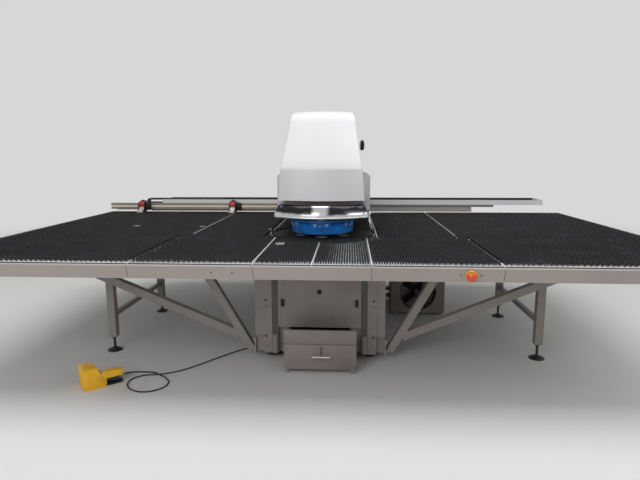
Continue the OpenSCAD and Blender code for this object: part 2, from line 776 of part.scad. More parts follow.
// Welded tube frame with two legs under each side of the table
inner_tube = 680;
edge_gap = 40;
main_y = front + leg_front - leg_w / 2;
module side_frame() {
    module tube_x(x0, x1, y0, y1) { block([x0, y0, tube_z], [x1, y1, tray_z]); }
    tube_x(seam_centre + 6, half_table - edge_gap, front + 62, front + 112);
    tube_x(wing_x, half_table - edge_gap, main_y - leg_w, main_y + leg_w);
    tube_x(inner_tube, half_table - edge_gap, front + leg_rear - leg_w / 2, front + leg_rear + leg_w / 2);
    tube_x(inner_tube, half_table - edge_gap, table_back - 76, table_back - 16);
    tube_x(inner_tube, inner_tube + 50, main_y, table_back - 16);
    tube_x(seam_outer - 25, seam_outer + 25, front + 62, main_y);
    tube_x(leg_x - leg_w / 2, leg_x + leg_w / 2, front + 62, table_back - 16);
    tube_x(half_table - edge_gap - leg_w, half_table - edge_gap, front + 62, table_back - 16);
    for (y = [leg_front, leg_rear])
        block([leg_x - leg_w / 2, front + y - leg_w / 2, leg_z], [leg_x + leg_w / 2, front + y + leg_w / 2, tube_z]);
    block([leg_x - 15, front + leg_front, stretcher_z - 20], [leg_x + 15, front + leg_rear, stretcher_z + 20]);
}
module side_frame_right() { color(paint) side_frame(); }
module side_frame_left() { color(paint) mirror([1, 0, 0]) side_frame(); }

// Slanted struts from the frame's foot to the table, with their foot plates
strut_w = 60;
strut_foot_x = 535;
strut_top_x = 994;
long_joint_x = 647;
long_joint_z = 185;
long_top_x = 2210;
module strut_outline() {
    intersection() {
        union() {
            hull_bar([strut_foot_x, 40], [strut_top_x + 20, tube_z + 40]);
            hull_bar([long_joint_x, long_joint_z], [long_top_x + 60, tube_z + 24]);
        }
        polygon([[wing_x + 12, base_z + 10], [wing_x + 12, tube_z], [half_table, tube_z], [half_table, base_z + 10]]);
    }
}
// A straight bar between two points, square at its ends
module hull_bar(a, b) {
    d = b - a;
    n = strut_w / 2 / norm(d);
    polygon([[a[0] - d[1] * n, a[1] + d[0] * n], [a[0] + d[1] * n, a[1] - d[0] * n],
             [b[0] + d[1] * n, b[1] - d[0] * n], [b[0] - d[1] * n, b[1] + d[0] * n]]);
}
module struts() {
    color(paint) both_sides() {
        along_y(main_y - strut_w, main_y) strut_outline();
        difference() {
            block([wing_x, main_y - 100, base_z - 5], [wing_x + 12, main_y + 10, 175]);
            for (z = [75, 150])
                translate([wing_x - 1, main_y - 80, z]) rotate([0, 90, 0]) cylinder(h = 14, r = 7);
        }
    }
}

// Levelling feet of the table's legs
module table_feet() {
    color(dark_paint)
    for (x = [-leg_x, leg_x], y = [leg_front, leg_rear])
        translate([x, front + y, 0]) rotate_extrude() polygon([
            [0, 0], [60, 0], [60, 6], [18, 26], [10, 26], [10, leg_z - 16], [17, leg_z - 16], [17, leg_z], [0, leg_z]
        ]);
}

// Sheet trays that hold the brushes, cut round the turret
module cut_circle(extra) {
    translate([0, axis_y]) circle(r = cutout_r + extra, $fn = 96);
}
module tray(x0, x1, y0, y1) {
    difference() {
        translate([0, 0, tray_z]) linear_extrude(tray_h) difference() {
            translate([x0, y0]) square([x1 - x0, y1 - y0]);
            cut_circle(0);
        }
        translate([0, 0, tray_z + tray_t]) linear_extrude(tray_h) difference() {
            translate([x0 + tray_t, y0 + tray_t]) square([x1 - x0 - 2 * tray_t, y1 - y0 - 2 * tray_t]);
            cut_circle(tray_t);
        }
    }
}
half_gap = tray_gap / 2;
row_y = front + seam_row;
back_edge = table_back - tray_in;
module tray_front_centre() {
    color(zinc) union() {
        tray(-seam_centre + half_gap, seam_centre - half_gap, tray_y, row_y - half_gap);
        block([-4, tray_y, tray_z + 1], [4, axis_y - cutout_r, table_h]);
    }
}
module trays_front_sides() {
    color(zinc) both_sides() {
        tray(seam_centre + half_gap, seam_outer - half_gap, tray_y, row_y - half_gap);
        tray(seam_outer + half_gap, tray_edge, tray_y, row_y - half_gap);
    }
}
slot_start = front + 1500;
centre_x = slot_out - tray_gap;
module tray_back_centre() {
    color(zinc) {
        tray(-centre_x, centre_x, row_y + half_gap, slot_start);
        tray(-slot_in, slot_in, slot_start + tray_gap, back_edge);
    }
}
module trays_back_sides() {
    color(zinc) both_sides() {
        tray(slot_out, seam_back - half_gap, row_y + half_gap, back_edge);
        tray(seam_back + half_gap, tray_edge, row_y + half_gap, back_edge);
    }
}

// Brush mats: a base board and rows of bristles that stand as tapered ridges
brush_fit = 0.5;
board_h = 22;
module brush_rows(x0, x1, y0, y1) {
    a = x0 + tray_t + brush_fit;
    b = x1 - tray_t - brush_fit;
    rows = floor((b - a - 2) / row_pitch);
    start = a + (b - a - rows * row_pitch) / 2;
    board = tray_z + tray_t + board_h;
    points = [for (i = [0:rows - 1]) let (c = start + (i + 0.5) * row_pitch)
        each [[c - row_foot / 2, board], [c - row_tip / 2, brush_z], [c + row_tip / 2, brush_z], [c + row_foot / 2, board]]];
    difference() {
        along_y(y0 + tray_t + brush_fit, y1 - tray_t - brush_fit)
            polygon(concat([[a, tray_z + tray_t], [a, board]], points, [[b, board], [b, tray_z + tray_t]]));
        translate([0, axis_y, tray_z]) cylinder(h = 100, r = cutout_r + tray_t + brush_fit, $fn = 96);
    }
}
module brushes_front() {
    color(black) {
        both_sides() {
            brush_rows(4 - tray_t, seam_centre - half_gap, tray_y, row_y - half_gap);
            brush_rows(seam_centre + half_gap, seam_outer - half_gap, tray_y, row_y - half_gap);
            brush_rows(seam_outer + half_gap, tray_edge, tray_y, row_y - half_gap);
        }
    }
}
module brushes_back() {
    color(black) {
        brush_rows(-centre_x, centre_x, row_y + half_gap, slot_start);
        brush_rows(-slot_in, slot_in, slot_start + tray_gap, back_edge);
        both_sides() {
            brush_rows(slot_out, seam_back - half_gap, row_y + half_gap, back_edge);
            brush_rows(seam_back + half_gap, tray_edge, row_y + half_gap, back_edge);
        }
    }
}

// Guide rails of the bridge, bolted on the frame's shelves
rail_h = 25;
rail_w = 30;
module rail_outline() {
    polygon([
        [-rail_w / 2, 0], [rail_w / 2, 0], [rail_w / 2, 9], [rail_w / 2 - 5, 13], [rail_w / 2, 17], [rail_w / 2, rail_h],
        [-rail_w / 2, rail_h], [-rail_w / 2, 17], [-rail_w / 2 + 5, 13], [-rail_w / 2, 9]
    ]);
}
module y_rails() {
    color(steel) both_sides()
        along_y(rail_start + 60, rail_end) translate([slot_x, shelf_z]) rail_outline();
}

// Bridge: an aluminium beam across the table on two brackets that run through the slots
chain_z = bridge_z + 80;
module bridge_beam() {
    color([0.72, 0.73, 0.74]) union() {
        difference() {
            block([bridge_left, front + bridge_y, bridge_z],
                  [bridge_right, front + bridge_y + bridge_d, bridge_z + bridge_h]);
            for (z = [bridge_z + 12, bridge_z + 34])
                block([bridge_left - 1, front + bridge_y - 1, z], [bridge_right + 1, front + bridge_y + 6, z + 5]);
        }
        block([bridge_left + 200, front + bridge_y + 60, bridge_z + bridge_h - 1],
              [bridge_right + 260, front + bridge_y + 120, chain_z]);
        both_sides() {
            block([slot_x - 8, front + bridge_y - 20, shelf_z + rail_h + 30],
                  [slot_x + 8, front + bridge_y + 140, bridge_z + 2]);
            difference() {
                block([slot_x - 34, front + bridge_y - 40, shelf_z + 6],
                      [slot_x + 34, front + bridge_y + 160, shelf_z + rail_h + 32]);
                block([slot_x - rail_w / 2 - run, front + bridge_y - 50, shelf_z],
                      [slot_x + rail_w / 2 + run, front + bridge_y + 170, shelf_z + rail_h + run]);
            }
        }
    }
}

// Guide blocks on the bridge that hold the carriage's rail
carriage_y = front + bridge_y - 35 - carriage_d;
x_rail_z = bridge_z + 26;
module x_blocks() {
    color(dark_paint) for (x = [-200, 200]) difference() {
        block([x - 50, front + bridge_y - 31, bridge_z + 3], [x + 50, front + bridge_y, bridge_z + bridge_h]);
        block([x - 51, front + bridge_y - 40, x_rail_z - 10 - run],
              [x + 51, front + bridge_y - 15 + run, x_rail_z + 10 + run]);
    }
}

// Tray for the cable chain, on top of the bridge
chain_front = front + bridge_y - 20;
chain_back = chain_front + 330;
module chain_tray() {
    color(white) union() {
        difference() {
            block([chain_left, chain_front, chain_z], [chain_right, chain_back, chain_z + 55]);
            block([chain_left - 1, chain_front + 3, chain_z + 3], [chain_right - 3, chain_back - 3, chain_z + 60]);
        }
        block([1560, chain_front - 1.5, chain_z], [1640, chain_front, chain_z + 55]);
    }
}

// Cable chain: links along a lower run, a bend and an upper run
link_pitch = 30;
link_h = 18;
bend_r = 22;
chain_bend_x = -2120;
chain_end_x = 260;
chain_upper_x = -1240;
chain_low_z = chain_z + 3 + link_h / 2;
module link(len) {
    translate([-len / 2 - 2, chain_front + 40, -link_h / 2]) cube([len + 4, 70, link_h - 4]);
    translate([-len / 2 + 4, chain_front + 36, -link_h / 2]) cube([len - 8, 78, link_h]);
}
module drag_chain() {
    color(black) {
        for (x = [chain_bend_x + link_pitch / 2:link_pitch:chain_end_x]) translate([x, 0, chain_low_z]) link(link_pitch);
        for (x = [chain_bend_x + link_pitch / 2:link_pitch:chain_upper_x])
            translate([x, 0, chain_low_z + 2 * bend_r]) rotate([180, 0, 0])
                translate([0, -2 * chain_front - 150, 0]) link(link_pitch);
        translate([chain_bend_x, chain_front + 36, chain_low_z + bend_r]) rotate([-90, 0, 0]) difference() {
            cylinder(h = 78, r = bend_r + link_h / 2);
            translate([0, 0, -1]) cylinder(h = 80, r = bend_r - link_h / 2 + 4);
            translate([0, -60, -1]) cube([60, 120, 80]);
        }
    }
}

// X carriage: an aluminium profile with its rail behind
module x_carriage() {
    zc = carriage_z;
    color([0.80, 0.80, 0.80]) along_x(carriage_left, carriage_right) translate([carriage_y, 0]) polygon([
        [0, zc], [carriage_d, zc], [carriage_d, zc + carriage_h], [0, zc + carriage_h],
        [0, zc + 44], [8, zc + 44], [8, zc + 40], [14, zc + 40], [14, zc + 27], [8, zc + 27], [8, zc + 23], [0, zc + 23]
    ]);
    color(steel) block([carriage_left + 40, carriage_y + carriage_d - 2, x_rail_z - 10],
                       [carriage_right - 10, front + bridge_y - 15, x_rail_z + 10]);
}

// Clamps on the carriage: housing, hook over the profile and fixed lower jaw
clamp_w = 80;
jaw_tip_y = carriage_y - clamp_reach;
jaw_pin_y = carriage_y - 34;
jaw_pin_z = carriage_z + 21;
jaw_plate = 5;
sheet_gap = 4;
carriage_top = carriage_z + carriage_h;
module clamp(x) {
    translate([x, 0, 0]) {
        color(black) difference() {
            along_x(-clamp_w / 2, clamp_w / 2) polygon([
                [jaw_tip_y, jaw_z], [carriage_y - 6, jaw_z], [carriage_y - 6, carriage_z - 6], [carriage_y - run, carriage_z - 6],
                [carriage_y - run, carriage_top + run], [carriage_y + 40, carriage_top + run],
                [carriage_y + 40, carriage_top + 26], [carriage_y - 40, carriage_top + 26],
                [carriage_y - 62, carriage_top + 10], [carriage_y - 62, jaw_z + jaw_plate], [jaw_tip_y, jaw_z + jaw_plate]
            ]);
            block([-26, carriage_y - 70, jaw_z + jaw_plate], [26, carriage_y - 12, jaw_pin_z + 16]);
        }
        color(dark_paint) block([clamp_w / 2, carriage_y - 46, carriage_z - 8],
                                [clamp_w / 2 + 52, carriage_y - run, carriage_top + 8]);
        color(black) translate([8, carriage_y - 20, carriage_top + 26]) cylinder(h = 16, r = 14);
        color(steel) translate([-26, jaw_pin_y, jaw_pin_z]) rotate([0, 90, 0]) cylinder(h = 52, r = 6);
    }
}
module jaw(x) {
    translate([x, 0, 0]) color([0.72, 0.10, 0.08]) difference() {
        along_x(-25.5, 25.5) polygon([
            [jaw_tip_y, jaw_z + jaw_plate + sheet_gap], [carriage_y - 56, jaw_z + jaw_plate + sheet_gap],
            [carriage_y - 20, jaw_pin_z - 14], [carriage_y - 20, jaw_pin_z + 12], [carriage_y - 52, jaw_pin_z + 12],
            [carriage_y - 60, jaw_pin_z - 6], [carriage_y - 76, jaw_z + jaw_plate + 30],
            [jaw_tip_y + 4, jaw_z + jaw_plate + sheet_gap + 9], [jaw_tip_y, jaw_z + jaw_plate + sheet_gap + 6]
        ]);
        translate([-30, jaw_pin_y, jaw_pin_z]) rotate([0, 90, 0]) cylinder(h = 60, r = 6 + run);
    }
}
module clamp_left() { clamp(clamp_left_x); }
module clamp_right() { clamp(clamp_right_x); }
module jaw_left() { jaw(clamp_left_x); }
module jaw_right() { jaw(clamp_right_x); }

// Scrap drawer with lips that ride on the frame's ledges
drawer_in = inner_w - 25;
drawer_y = front + drawer_front;
drawer_split = 240;
drawer_depth = 1130;
module scrap_drawer() {
    color(paint) union() {
        difference() {
            block([-drawer_in, drawer_y + 22, drawer_z], [drawer_in, drawer_y + drawer_depth, drawer_lip_z + 2]);
            block([-drawer_in + 3, drawer_y + 26, drawer_z + 3],
                  [drawer_in - 3, drawer_y + drawer_depth - 3, drawer_lip_z + 10]);
        }
        both_sides() block([drawer_in - 1, frame_y + 20, drawer_lip_z],
                           [inner_w - 3, drawer_y + drawer_depth, drawer_lip_z + 2]);
        difference() {
            block([-drawer_w / 2, drawer_y, drawer_z], [drawer_w / 2, drawer_y + 24, drawer_z + drawer_h]);
            block([-drawer_w / 2 + 3, drawer_y + 3, drawer_lip_z + 3],
                  [drawer_w / 2 - 3, drawer_y + 25, drawer_z + drawer_h - 3]);
            block([-drawer_w, drawer_y - 1, drawer_split], [drawer_w, drawer_y + 2, drawer_split + 3]);
            block([-8, drawer_y - 1, 172], [8, drawer_y + 2, 226]);
        }
        both_sides() block([drawer_w / 2 - 34, drawer_y + 2, 3], [drawer_w / 2 - 6, drawer_y + 26, drawer_z + 1]);
    }
}

// T-shaped drawer handle: a bar on a short stem
module drawer_handle() {
    color(steel) {
        translate([-60, drawer_y - 34, 188]) rotate([0, 90, 0]) cylinder(h = 120, r = 9);
        translate([-6, drawer_y - 34, 182]) cube([12, 36, 12]);
    }
}

// Stop button on its base, square to the leaning apron
module on_apron(out) {
    translate([stop_x, front + stop_in, stop_z]) rotate([90 + lean_a, 0, 0]) translate([0, 0, out]) children();
}
module stop_base() {
    color(yellow) on_apron(0.2) {
        cylinder(h = 12, r = stop_r + 5);
        cylinder(h = stop_gap + 5, r = stop_neck);
    }
}
module stop_button() {
    color([0.85, 0.22, 0.06]) on_apron(stop_gap) rotate_extrude() polygon(button_points);
}

// Foot pedal: a bent sheet guard over the toe end of a sprung treadle, on a dark switch base
pedal_x = -1571;
pedal_y = front + 163;
pedal_turn = 41;
guard_l = 148;
arm_low = 57;
treadle_pivot = [pedal_l - 20, 24];
base_end = pedal_l - 10;
cable_side = 116;
cable_up = 14;
module pedal_place() {
    translate([pedal_x, pedal_y, 0]) rotate([0, 0, pedal_turn]) children();
}
module guard_side() {
    offset(r = 5, $fn = 24) offset(delta = -5) polygon([
        [0, 0], [guard_l, 0], [guard_l, arm_low], [guard_l - 30, 85], [guard_l - 56, pedal_h], [0, pedal_h]
    ]);
}
module pedal_guard() {
    color(yellow) pedal_place() {
        difference() {
            along_y(0, pedal_w) guard_side();
            along_y(4, pedal_w - 4) polygon([
                [4, 22], [guard_l + 10, 22], [guard_l + 10, pedal_h - 4], [12, pedal_h - 4], [4, pedal_h - 12]
            ]);
            translate([52, 100, pedal_h - 10]) cylinder(h = 20, r = 5);
        }
        along_y(0, 4) polygon([
            [guard_l - 40, arm_low], [pedal_l, arm_low], [pedal_l - 8, 103], [guard_l - 21, 111], [guard_l - 33, 85]
        ]);
        along_y(0, 45) polygon([[guard_l - 21, 107], [pedal_l - 8, 99], [pedal_l - 8, 103], [guard_l - 21, 111]]);
    }
    color(dark_paint) pedal_place() {
        block([guard_l - 1, 6, 0], [base_end, pedal_w - 6, 12]);
        for (y = [8, pedal_w - 14]) difference() {
            block([treadle_pivot[0] - 12, y, 11], [treadle_pivot[0] + 10, y + 6, 34]);
            translate([treadle_pivot[0], y - 1, treadle_pivot[1]]) rotate([-90, 0, 0]) cylinder(h = 8, r = 5 + run);
        }
        translate([base_end - 1, cable_side, cable_up]) rotate([0, 90, 0]) cylinder(h = 14, r = 9);
        block([base_end - 30, cable_side - 9, 11], [base_end, cable_side + 9, cable_up + 4]);
    }
}
module pedal_treadle() {
    x = treadle_pivot[0];
    z = treadle_pivot[1];
    color([0.10, 0.16, 0.32]) pedal_place() {
        difference() {
            along_y(18, pedal_w - 56) polygon([
                [24, 58], [x - 6, z + 8], [x + 6, z + 4], [x + 7, z - 4], [x - 2, z - 7], [x - 12, z - 4], [24, 49]
            ]);
            for (k = [0:12])
                translate([40 + 15 * k, 26, 58 - (16 + 15 * k) * (50 - z) / (x - 30)]) rotate([-90, 0, 0])
                    cylinder(h = pedal_w - 90, r = 2, $fn = 16);
        }
        translate([x, 9, z]) rotate([-90, 0, 0]) cylinder(h = pedal_w - 18, r = 5);
    }
}

// Pedal cable: from the gland on the frame's side, along the floor, once round a loop and into the switch base
function on_pedal(u, v, z) = [
    pedal_x + u * cos(pedal_turn) - v * sin(pedal_turn), pedal_y + u * sin(pedal_turn) + v * cos(pedal_turn), z
];
gland_point = [-half_w - gland_h - run, gland_y, gland_z];
cable_in = base_end + 13 + run;
cable_route = [
    gland_point, gland_point + [-30, 0, 0], gland_point + [-60, -4, -16], [-392, front + 1088, 64],
    [-430, front + 1076, 12], [-500, front + 1062, 5.2], [-600, front + 1020, 5.2], [-720, front + 900, 5.2],
    [-850, front + 740, 5.2], [-960, front + 600, 5.2], [-1060, front + 510, 5.2], [-1160, front + 462, 5.2],
    [-1260, front + 440, 5.2], [-1322, front + 390, 5.2], [-1334, front + 310, 5.2], [-1290, front + 230, 5.2],
    [-1200, front + 180, 5.2], [-1110, front + 196, 5.2], [-1052, front + 260, 5.2], [-1050, front + 340, 5.2],
    [-1100, front + 410, 5.2], [-1160, front + 446, 11], [-1196, front + 464, 15.8], [-1240, front + 480, 13],
    [-1300, front + 496, 5.2], [-1356, front + 492, 6], on_pedal(cable_in + 60, cable_side, 10.5),
    on_pedal(cable_in + 30, cable_side, 13.5), on_pedal(cable_in, cable_side, cable_up)
];
function catmull(a, b, c, d, t) =
    0.5 * (2 * b + (c - a) * t + (2 * a - 5 * b + 4 * c - d) * t * t + (3 * b - a - 3 * c + d) * t * t * t);
last = len(cable_route) - 1;
cable_steps = 3;
cable_line = concat(
    [for (i = [0:last - 1], k = [0:cable_steps - 1])
        catmull(cable_route[max(0, i - 1)], cable_route[i], cable_route[i + 1], cable_route[min(last, i + 2)],
                k / cable_steps)],
    [cable_route[last]]
);
cable_sides = 8;
function unit(v) = v / norm(v);
function ring_at(i) =
    let (n = len(cable_line) - 1)
    let (d = unit(cable_line[min(n, i + 1)] - cable_line[max(0, i - 1)]))
    let (side = unit(cross(d, [0, 0, 1])), up = cross(side, d))
    [for (k = [0:cable_sides - 1]) let (a = 360 * k / cable_sides)
        cable_line[i] + cable_d / 2 * (cos(a) * side + sin(a) * up)];
module pedal_cable() {
    n = len(cable_line);
    color(black) polyhedron(
        points = [for (i = [0:n - 1]) each ring_at(i)],
        faces = concat(
            [[for (k = [0:cable_sides - 1]) k]],
            [for (i = [0:n - 2], k = [0:cable_sides - 1]) let (m = (k + 1) % cable_sides)
                [i * cable_sides + k, (i + 1) * cable_sides + k, (i + 1) * cable_sides + m, i * cable_sides + m]],
            [[for (k = [cable_sides - 1:-1:0]) (n - 1) * cable_sides + k]]
        )
    );
}

// Hydraulic power unit under the table: housing with a cooler opening and its tank behind
unit_left = 650;
unit_right = 1180;
unit_y = front + 2000;
fan_x = 915;
fan_z = 232;
fan_r = 175;
module power_unit() {
    color(paint) difference() {
        union() {
            block([unit_left, unit_y, 20], [unit_right, unit_y + 160, 455]);
            block([unit_left + 20, unit_y + 159, 20], [unit_right - 20, unit_y + 620, 400]);
            for (x = [unit_left + 20, unit_right - 80], y = [unit_y + 20, unit_y + 520])
                block([x, y, 0], [x + 60, y + 60, 21]);
            for (y = [unit_y + 220, unit_y + 500])
                block([half_w, y, 120], [unit_left + 21, y + 40, 160]);
        }
        translate([fan_x, unit_y - 1, fan_z]) rotate([-90, 0, 0]) cylinder(h = 121, r = fan_r + 8);
    }
    color(dark_paint) translate([fan_x, unit_y + 70, fan_z]) rotate([-90, 0, 0]) cylinder(h = 52, r = 40);
}

// Cooler fan with five blades
module cooler_fan() {
    color(black) translate([fan_x, unit_y + 20, fan_z]) rotate([-90, 0, 0]) {
        cylinder(h = 49.7, r = 34);
        for (a = [0:72:288]) rotate([0, 0, a]) translate([30, 0, 25]) rotate([28, 0, 0])
            translate([0, -32, -3]) cube([fan_r - 34, 64, 5]);
    }
}

// Control cabinet on the left of the column
cab_in = -half_w;
cab_out = -590;
cab_y0 = column_y + 150;
cab_y1 = column_y + 1080;
cab_z0 = 150;
cab_z1 = 1650;
module control_cabinet() {
    color(paint) union() {
        difference() {
            block([cab_out, cab_y0, cab_z0], [cab_in, cab_y1, cab_z1]);
            block([cab_out - 1, cab_y0 + 3, cab_z0 + 3], [cab_in - 3, cab_y1 - 3, cab_z1 - 3]);
        }
        for (z = [400, 1400]) difference() {
            union() {
                translate([cab_out - 14, cab_y1 - 14, z - 40]) cylinder(h = 30, r = 12);
                block([cab_out - 14, cab_y1 - 14, z - 40], [cab_out + 3, cab_y1, z - 10]);
            }
            translate([cab_out - 14, cab_y1 - 14, z - 41]) cylinder(h = 40, r = 6 + run);
        }
        block([cab_in - 40, cab_y0 + 60, cab_z0 + 60], [cab_in - 34, cab_y1 - 60, cab_z1 - 60]);
        block([cab_in - 40, cab_y0 + 300, cab_z0 + 60], [cab_in - 3, cab_y0 + 330, cab_z1 - 60]);
        for (z = [300:240:1300]) block([cab_in - 120, cab_y0 + 100, z], [cab_in - 39, cab_y1 - 160, z + 120]);
    }
}

// Door of the control cabinet with its pull handle
module cabinet_door() {
    color(paint) union() {
        block([cab_out - 22, cab_y0, cab_z0], [cab_out - 2, cab_y1 - 30, cab_z1]);
        for (z = [400, 1400]) {
            translate([cab_out - 14, cab_y1 - 14, z - 9.7]) cylinder(h = 30, r = 12);
            translate([cab_out - 14, cab_y1 - 14, z - 40]) cylinder(h = 40, r = 6);
            block([cab_out - 20, cab_y1 - 36, z - 9.7], [cab_out - 8, cab_y1 - 20, z + 20.3]);
        }
    }
    color(black) difference() {
        block([cab_out - 50, cab_y0 + 50, 880], [cab_out - 22, cab_y0 + 74, 1040]);
        block([cab_out - 40, cab_y0 + 40, 900], [cab_out - 21, cab_y0 + 84, 1020]);
    }
}

c_frame();
frame_webs();
frame_brackets();
machine_feet();
base_front_cover();
cover_locks();
fascia_left();
fascia_right();
vent_strips();
arm_cheek_left();
arm_cheek_right();
nose_hood();
hood_knob();
hood_skirt();
ram_cylinder();
ram_striker();
turret_spindle();
upper_turret();
turret_gear();
punch_holders();
lower_turret();
dies();
index_motor();
index_pinion();
apron_centre();
apron_inner_left();
apron_inner_right();
apron_outer_left();
apron_outer_right();
side_frame_left();
side_frame_right();
struts();
table_feet();
tray_front_centre();
trays_front_sides();
tray_back_centre();
trays_back_sides();
brushes_front();
brushes_back();
y_rails();
bridge_beam();
x_blocks();
chain_tray();
drag_chain();
x_carriage();
clamp_left();
clamp_right();
jaw_left();
jaw_right();
scrap_drawer();
drawer_handle();
stop_base();
stop_button();
pedal_guard();
pedal_treadle();
pedal_cable();
power_unit();
cooler_fan();
control_cabinet();
cabinet_door();
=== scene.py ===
# %% [markdown]
# # A turret punch press, dressed for its portrait
# The machine punches flat sheet metal. A heavy C-shaped frame reaches over a wide brush table, a turret
# full of punches turns under its white hood, and two clamps on a bridge push the sheet about.
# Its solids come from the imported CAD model. This script adds what the solids leave out, and gives every
# surface a finish. Lengths are metres, +X is the operator's right, +Y is away, +Z is up.

# %% Load the frame
import math
import random
import bmesh
import bpy
from mathutils import Matrix, Vector


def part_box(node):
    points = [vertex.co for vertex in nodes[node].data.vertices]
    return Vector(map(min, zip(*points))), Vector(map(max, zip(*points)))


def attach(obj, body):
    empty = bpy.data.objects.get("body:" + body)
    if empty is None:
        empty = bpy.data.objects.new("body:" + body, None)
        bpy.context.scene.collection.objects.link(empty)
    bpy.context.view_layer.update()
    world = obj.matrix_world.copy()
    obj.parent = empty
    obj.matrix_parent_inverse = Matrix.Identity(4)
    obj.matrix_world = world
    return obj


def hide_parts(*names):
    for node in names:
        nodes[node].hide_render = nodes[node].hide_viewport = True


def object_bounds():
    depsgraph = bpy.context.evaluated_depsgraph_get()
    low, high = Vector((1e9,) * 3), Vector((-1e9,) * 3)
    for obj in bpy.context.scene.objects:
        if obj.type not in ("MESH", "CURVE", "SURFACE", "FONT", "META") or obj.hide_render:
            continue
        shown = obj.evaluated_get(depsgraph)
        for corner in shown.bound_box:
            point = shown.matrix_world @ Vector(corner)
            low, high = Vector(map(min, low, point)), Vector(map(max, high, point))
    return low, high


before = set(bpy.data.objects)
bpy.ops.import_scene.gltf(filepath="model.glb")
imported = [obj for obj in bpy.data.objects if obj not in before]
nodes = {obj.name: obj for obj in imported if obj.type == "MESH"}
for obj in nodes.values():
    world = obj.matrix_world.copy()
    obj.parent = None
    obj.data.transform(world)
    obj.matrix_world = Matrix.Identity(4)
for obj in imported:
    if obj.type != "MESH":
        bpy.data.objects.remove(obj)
cad_low, cad_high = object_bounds()
print("CAD box", [round(v, 3) for v in cad_high - cad_low], "in", len(nodes), "nodes")

# %% [markdown]
# ## Places that the whole script shares
# The front apron's rolled edge is the zero of the machine's depth. Its place follows from the box of the
# centre apron, so a length written as "depth behind the apron" turns into a Y coordinate by one sum.

# %% The machine's own landmarks
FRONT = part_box("apron_centre")[0].y
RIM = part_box("tray_front_centre")[1].z
TURRET_Y = FRONT + 1.220
CUT_R = 0.430
print("front apron at", round(FRONT, 4), "tray rims at", round(RIM, 3))


def depth(distance):
    """Y coordinate of a place that lies this far behind the front apron."""
    return FRONT + distance


# %% [markdown]
# ## The camera
# The photograph was taken by someone standing 3 m in front of the table, a little to the right of its middle,
# with the phone held at 1.59 m and tipped down. Its turn and tip were found from the table's straight edges.
# A camera looks along its own -Z, so its three axes are built first and then put in one matrix.

# %% Set up the camera
PHOTO_W, FOCAL_PX = 640, 505.03
YAW, PITCH, ROLL = 0.059776, 0.164609, -0.0026447
EYE = Vector((0.22954, depth(-2.96871), 1.58668))

look = Vector((-math.sin(YAW) * math.cos(PITCH), math.cos(YAW) * math.cos(PITCH), -math.sin(PITCH)))
flat_right = Vector((math.cos(YAW), math.sin(YAW), 0))
flat_up = flat_right.cross(look)
cam_right = flat_right * math.cos(ROLL) + flat_up * math.sin(ROLL)
cam_up = -flat_right * math.sin(ROLL) + flat_up * math.cos(ROLL)

camera_data = bpy.data.cameras.new("camera")
camera_data.sensor_width = 36.0
camera_data.lens = FOCAL_PX / PHOTO_W * camera_data.sensor_width
camera_data.clip_start, camera_data.clip_end = 0.05, 200
camera = bpy.data.objects.new("camera", camera_data)
camera.matrix_world = Matrix((
    (cam_right.x, cam_up.x, -look.x, EYE.x),
    (cam_right.y, cam_up.y, -look.y, EYE.y),
    (cam_right.z, cam_up.z, -look.z, EYE.z),
    (0, 0, 0, 1),
))
bpy.context.scene.collection.objects.link(camera)
bpy.context.scene.camera = camera
print("lens", round(camera_data.lens, 2), "mm")

# %% [markdown]
# ## The pedal's cable
# The foot pedal's cable is the only cord. It leaves a gland on the left side of the frame, drops to the floor,
# makes one loop and enters the pedal's base. Its route is listed and is the same as in the CAD source.
# A smooth curve through the points follows, because a real cable has no corners. Catmull and Rom's formula
# gives one: each stretch between two points takes its direction from the neighbours on both sides.

# %% The cable's route
CABLE_D, ON_FLOOR = 0.010, 0.0052
PEDAL = Vector((-1.571, depth(0.163), 0))
PEDAL_TURN = math.radians(41)
PEDAL_L, PEDAL_W, PEDAL_H, GUARD_L = 0.265, 0.160, 0.146, 0.148
BASE_END = PEDAL_L - 0.010
CABLE_SIDE, CABLE_UP = 0.116, 0.014
pedal_place = Matrix.Translation(PEDAL) @ Matrix.Rotation(PEDAL_TURN, 4, "Z")
gland = Vector((-0.3123, depth(1.100), 0.130))
cable_in = BASE_END + 0.0133
laid = [(-0.392, 1.088, 0.064), (-0.430, 1.076, 0.012), (-0.500, 1.062), (-0.600, 1.020), (-0.720, 0.900),
        (-0.850, 0.740), (-0.960, 0.600), (-1.060, 0.510), (-1.160, 0.462), (-1.260, 0.440), (-1.322, 0.390),
        (-1.334, 0.310), (-1.290, 0.230), (-1.200, 0.180), (-1.110, 0.196), (-1.052, 0.260), (-1.050, 0.340),
        (-1.100, 0.410), (-1.160, 0.446, 0.011), (-1.196, 0.464, 0.0158), (-1.240, 0.480, 0.013),
        (-1.300, 0.496), (-1.356, 0.492, 0.006)]
route = [gland, gland + Vector((-0.030, 0, 0)), gland + Vector((-0.060, -0.004, -0.016))]
route += [Vector((x, depth(y), *(up or [ON_FLOOR]))) for x, y, *up in laid]
route += [pedal_place @ Vector((cable_in + back, CABLE_SIDE, z)) for back, z in
          ((0.060, 0.0105), (0.030, 0.0135), (0.0, CABLE_UP))]


def through(points, steps):
    """A smooth line through points, with some steps on each stretch."""
    line = []
    for i in range(len(points) - 1):
        a, b, c, d = (points[max(0, min(len(points) - 1, i + k))] for k in (-1, 0, 1, 2))
        for step in range(steps):
            t = step / steps
            line.append(0.5 * (2 * b + (c - a) * t + (2 * a - 5 * b + 4 * c - d) * t ** 2
                               + (3 * b - a - 3 * c + d) * t ** 3))
    return line + [points[-1]]


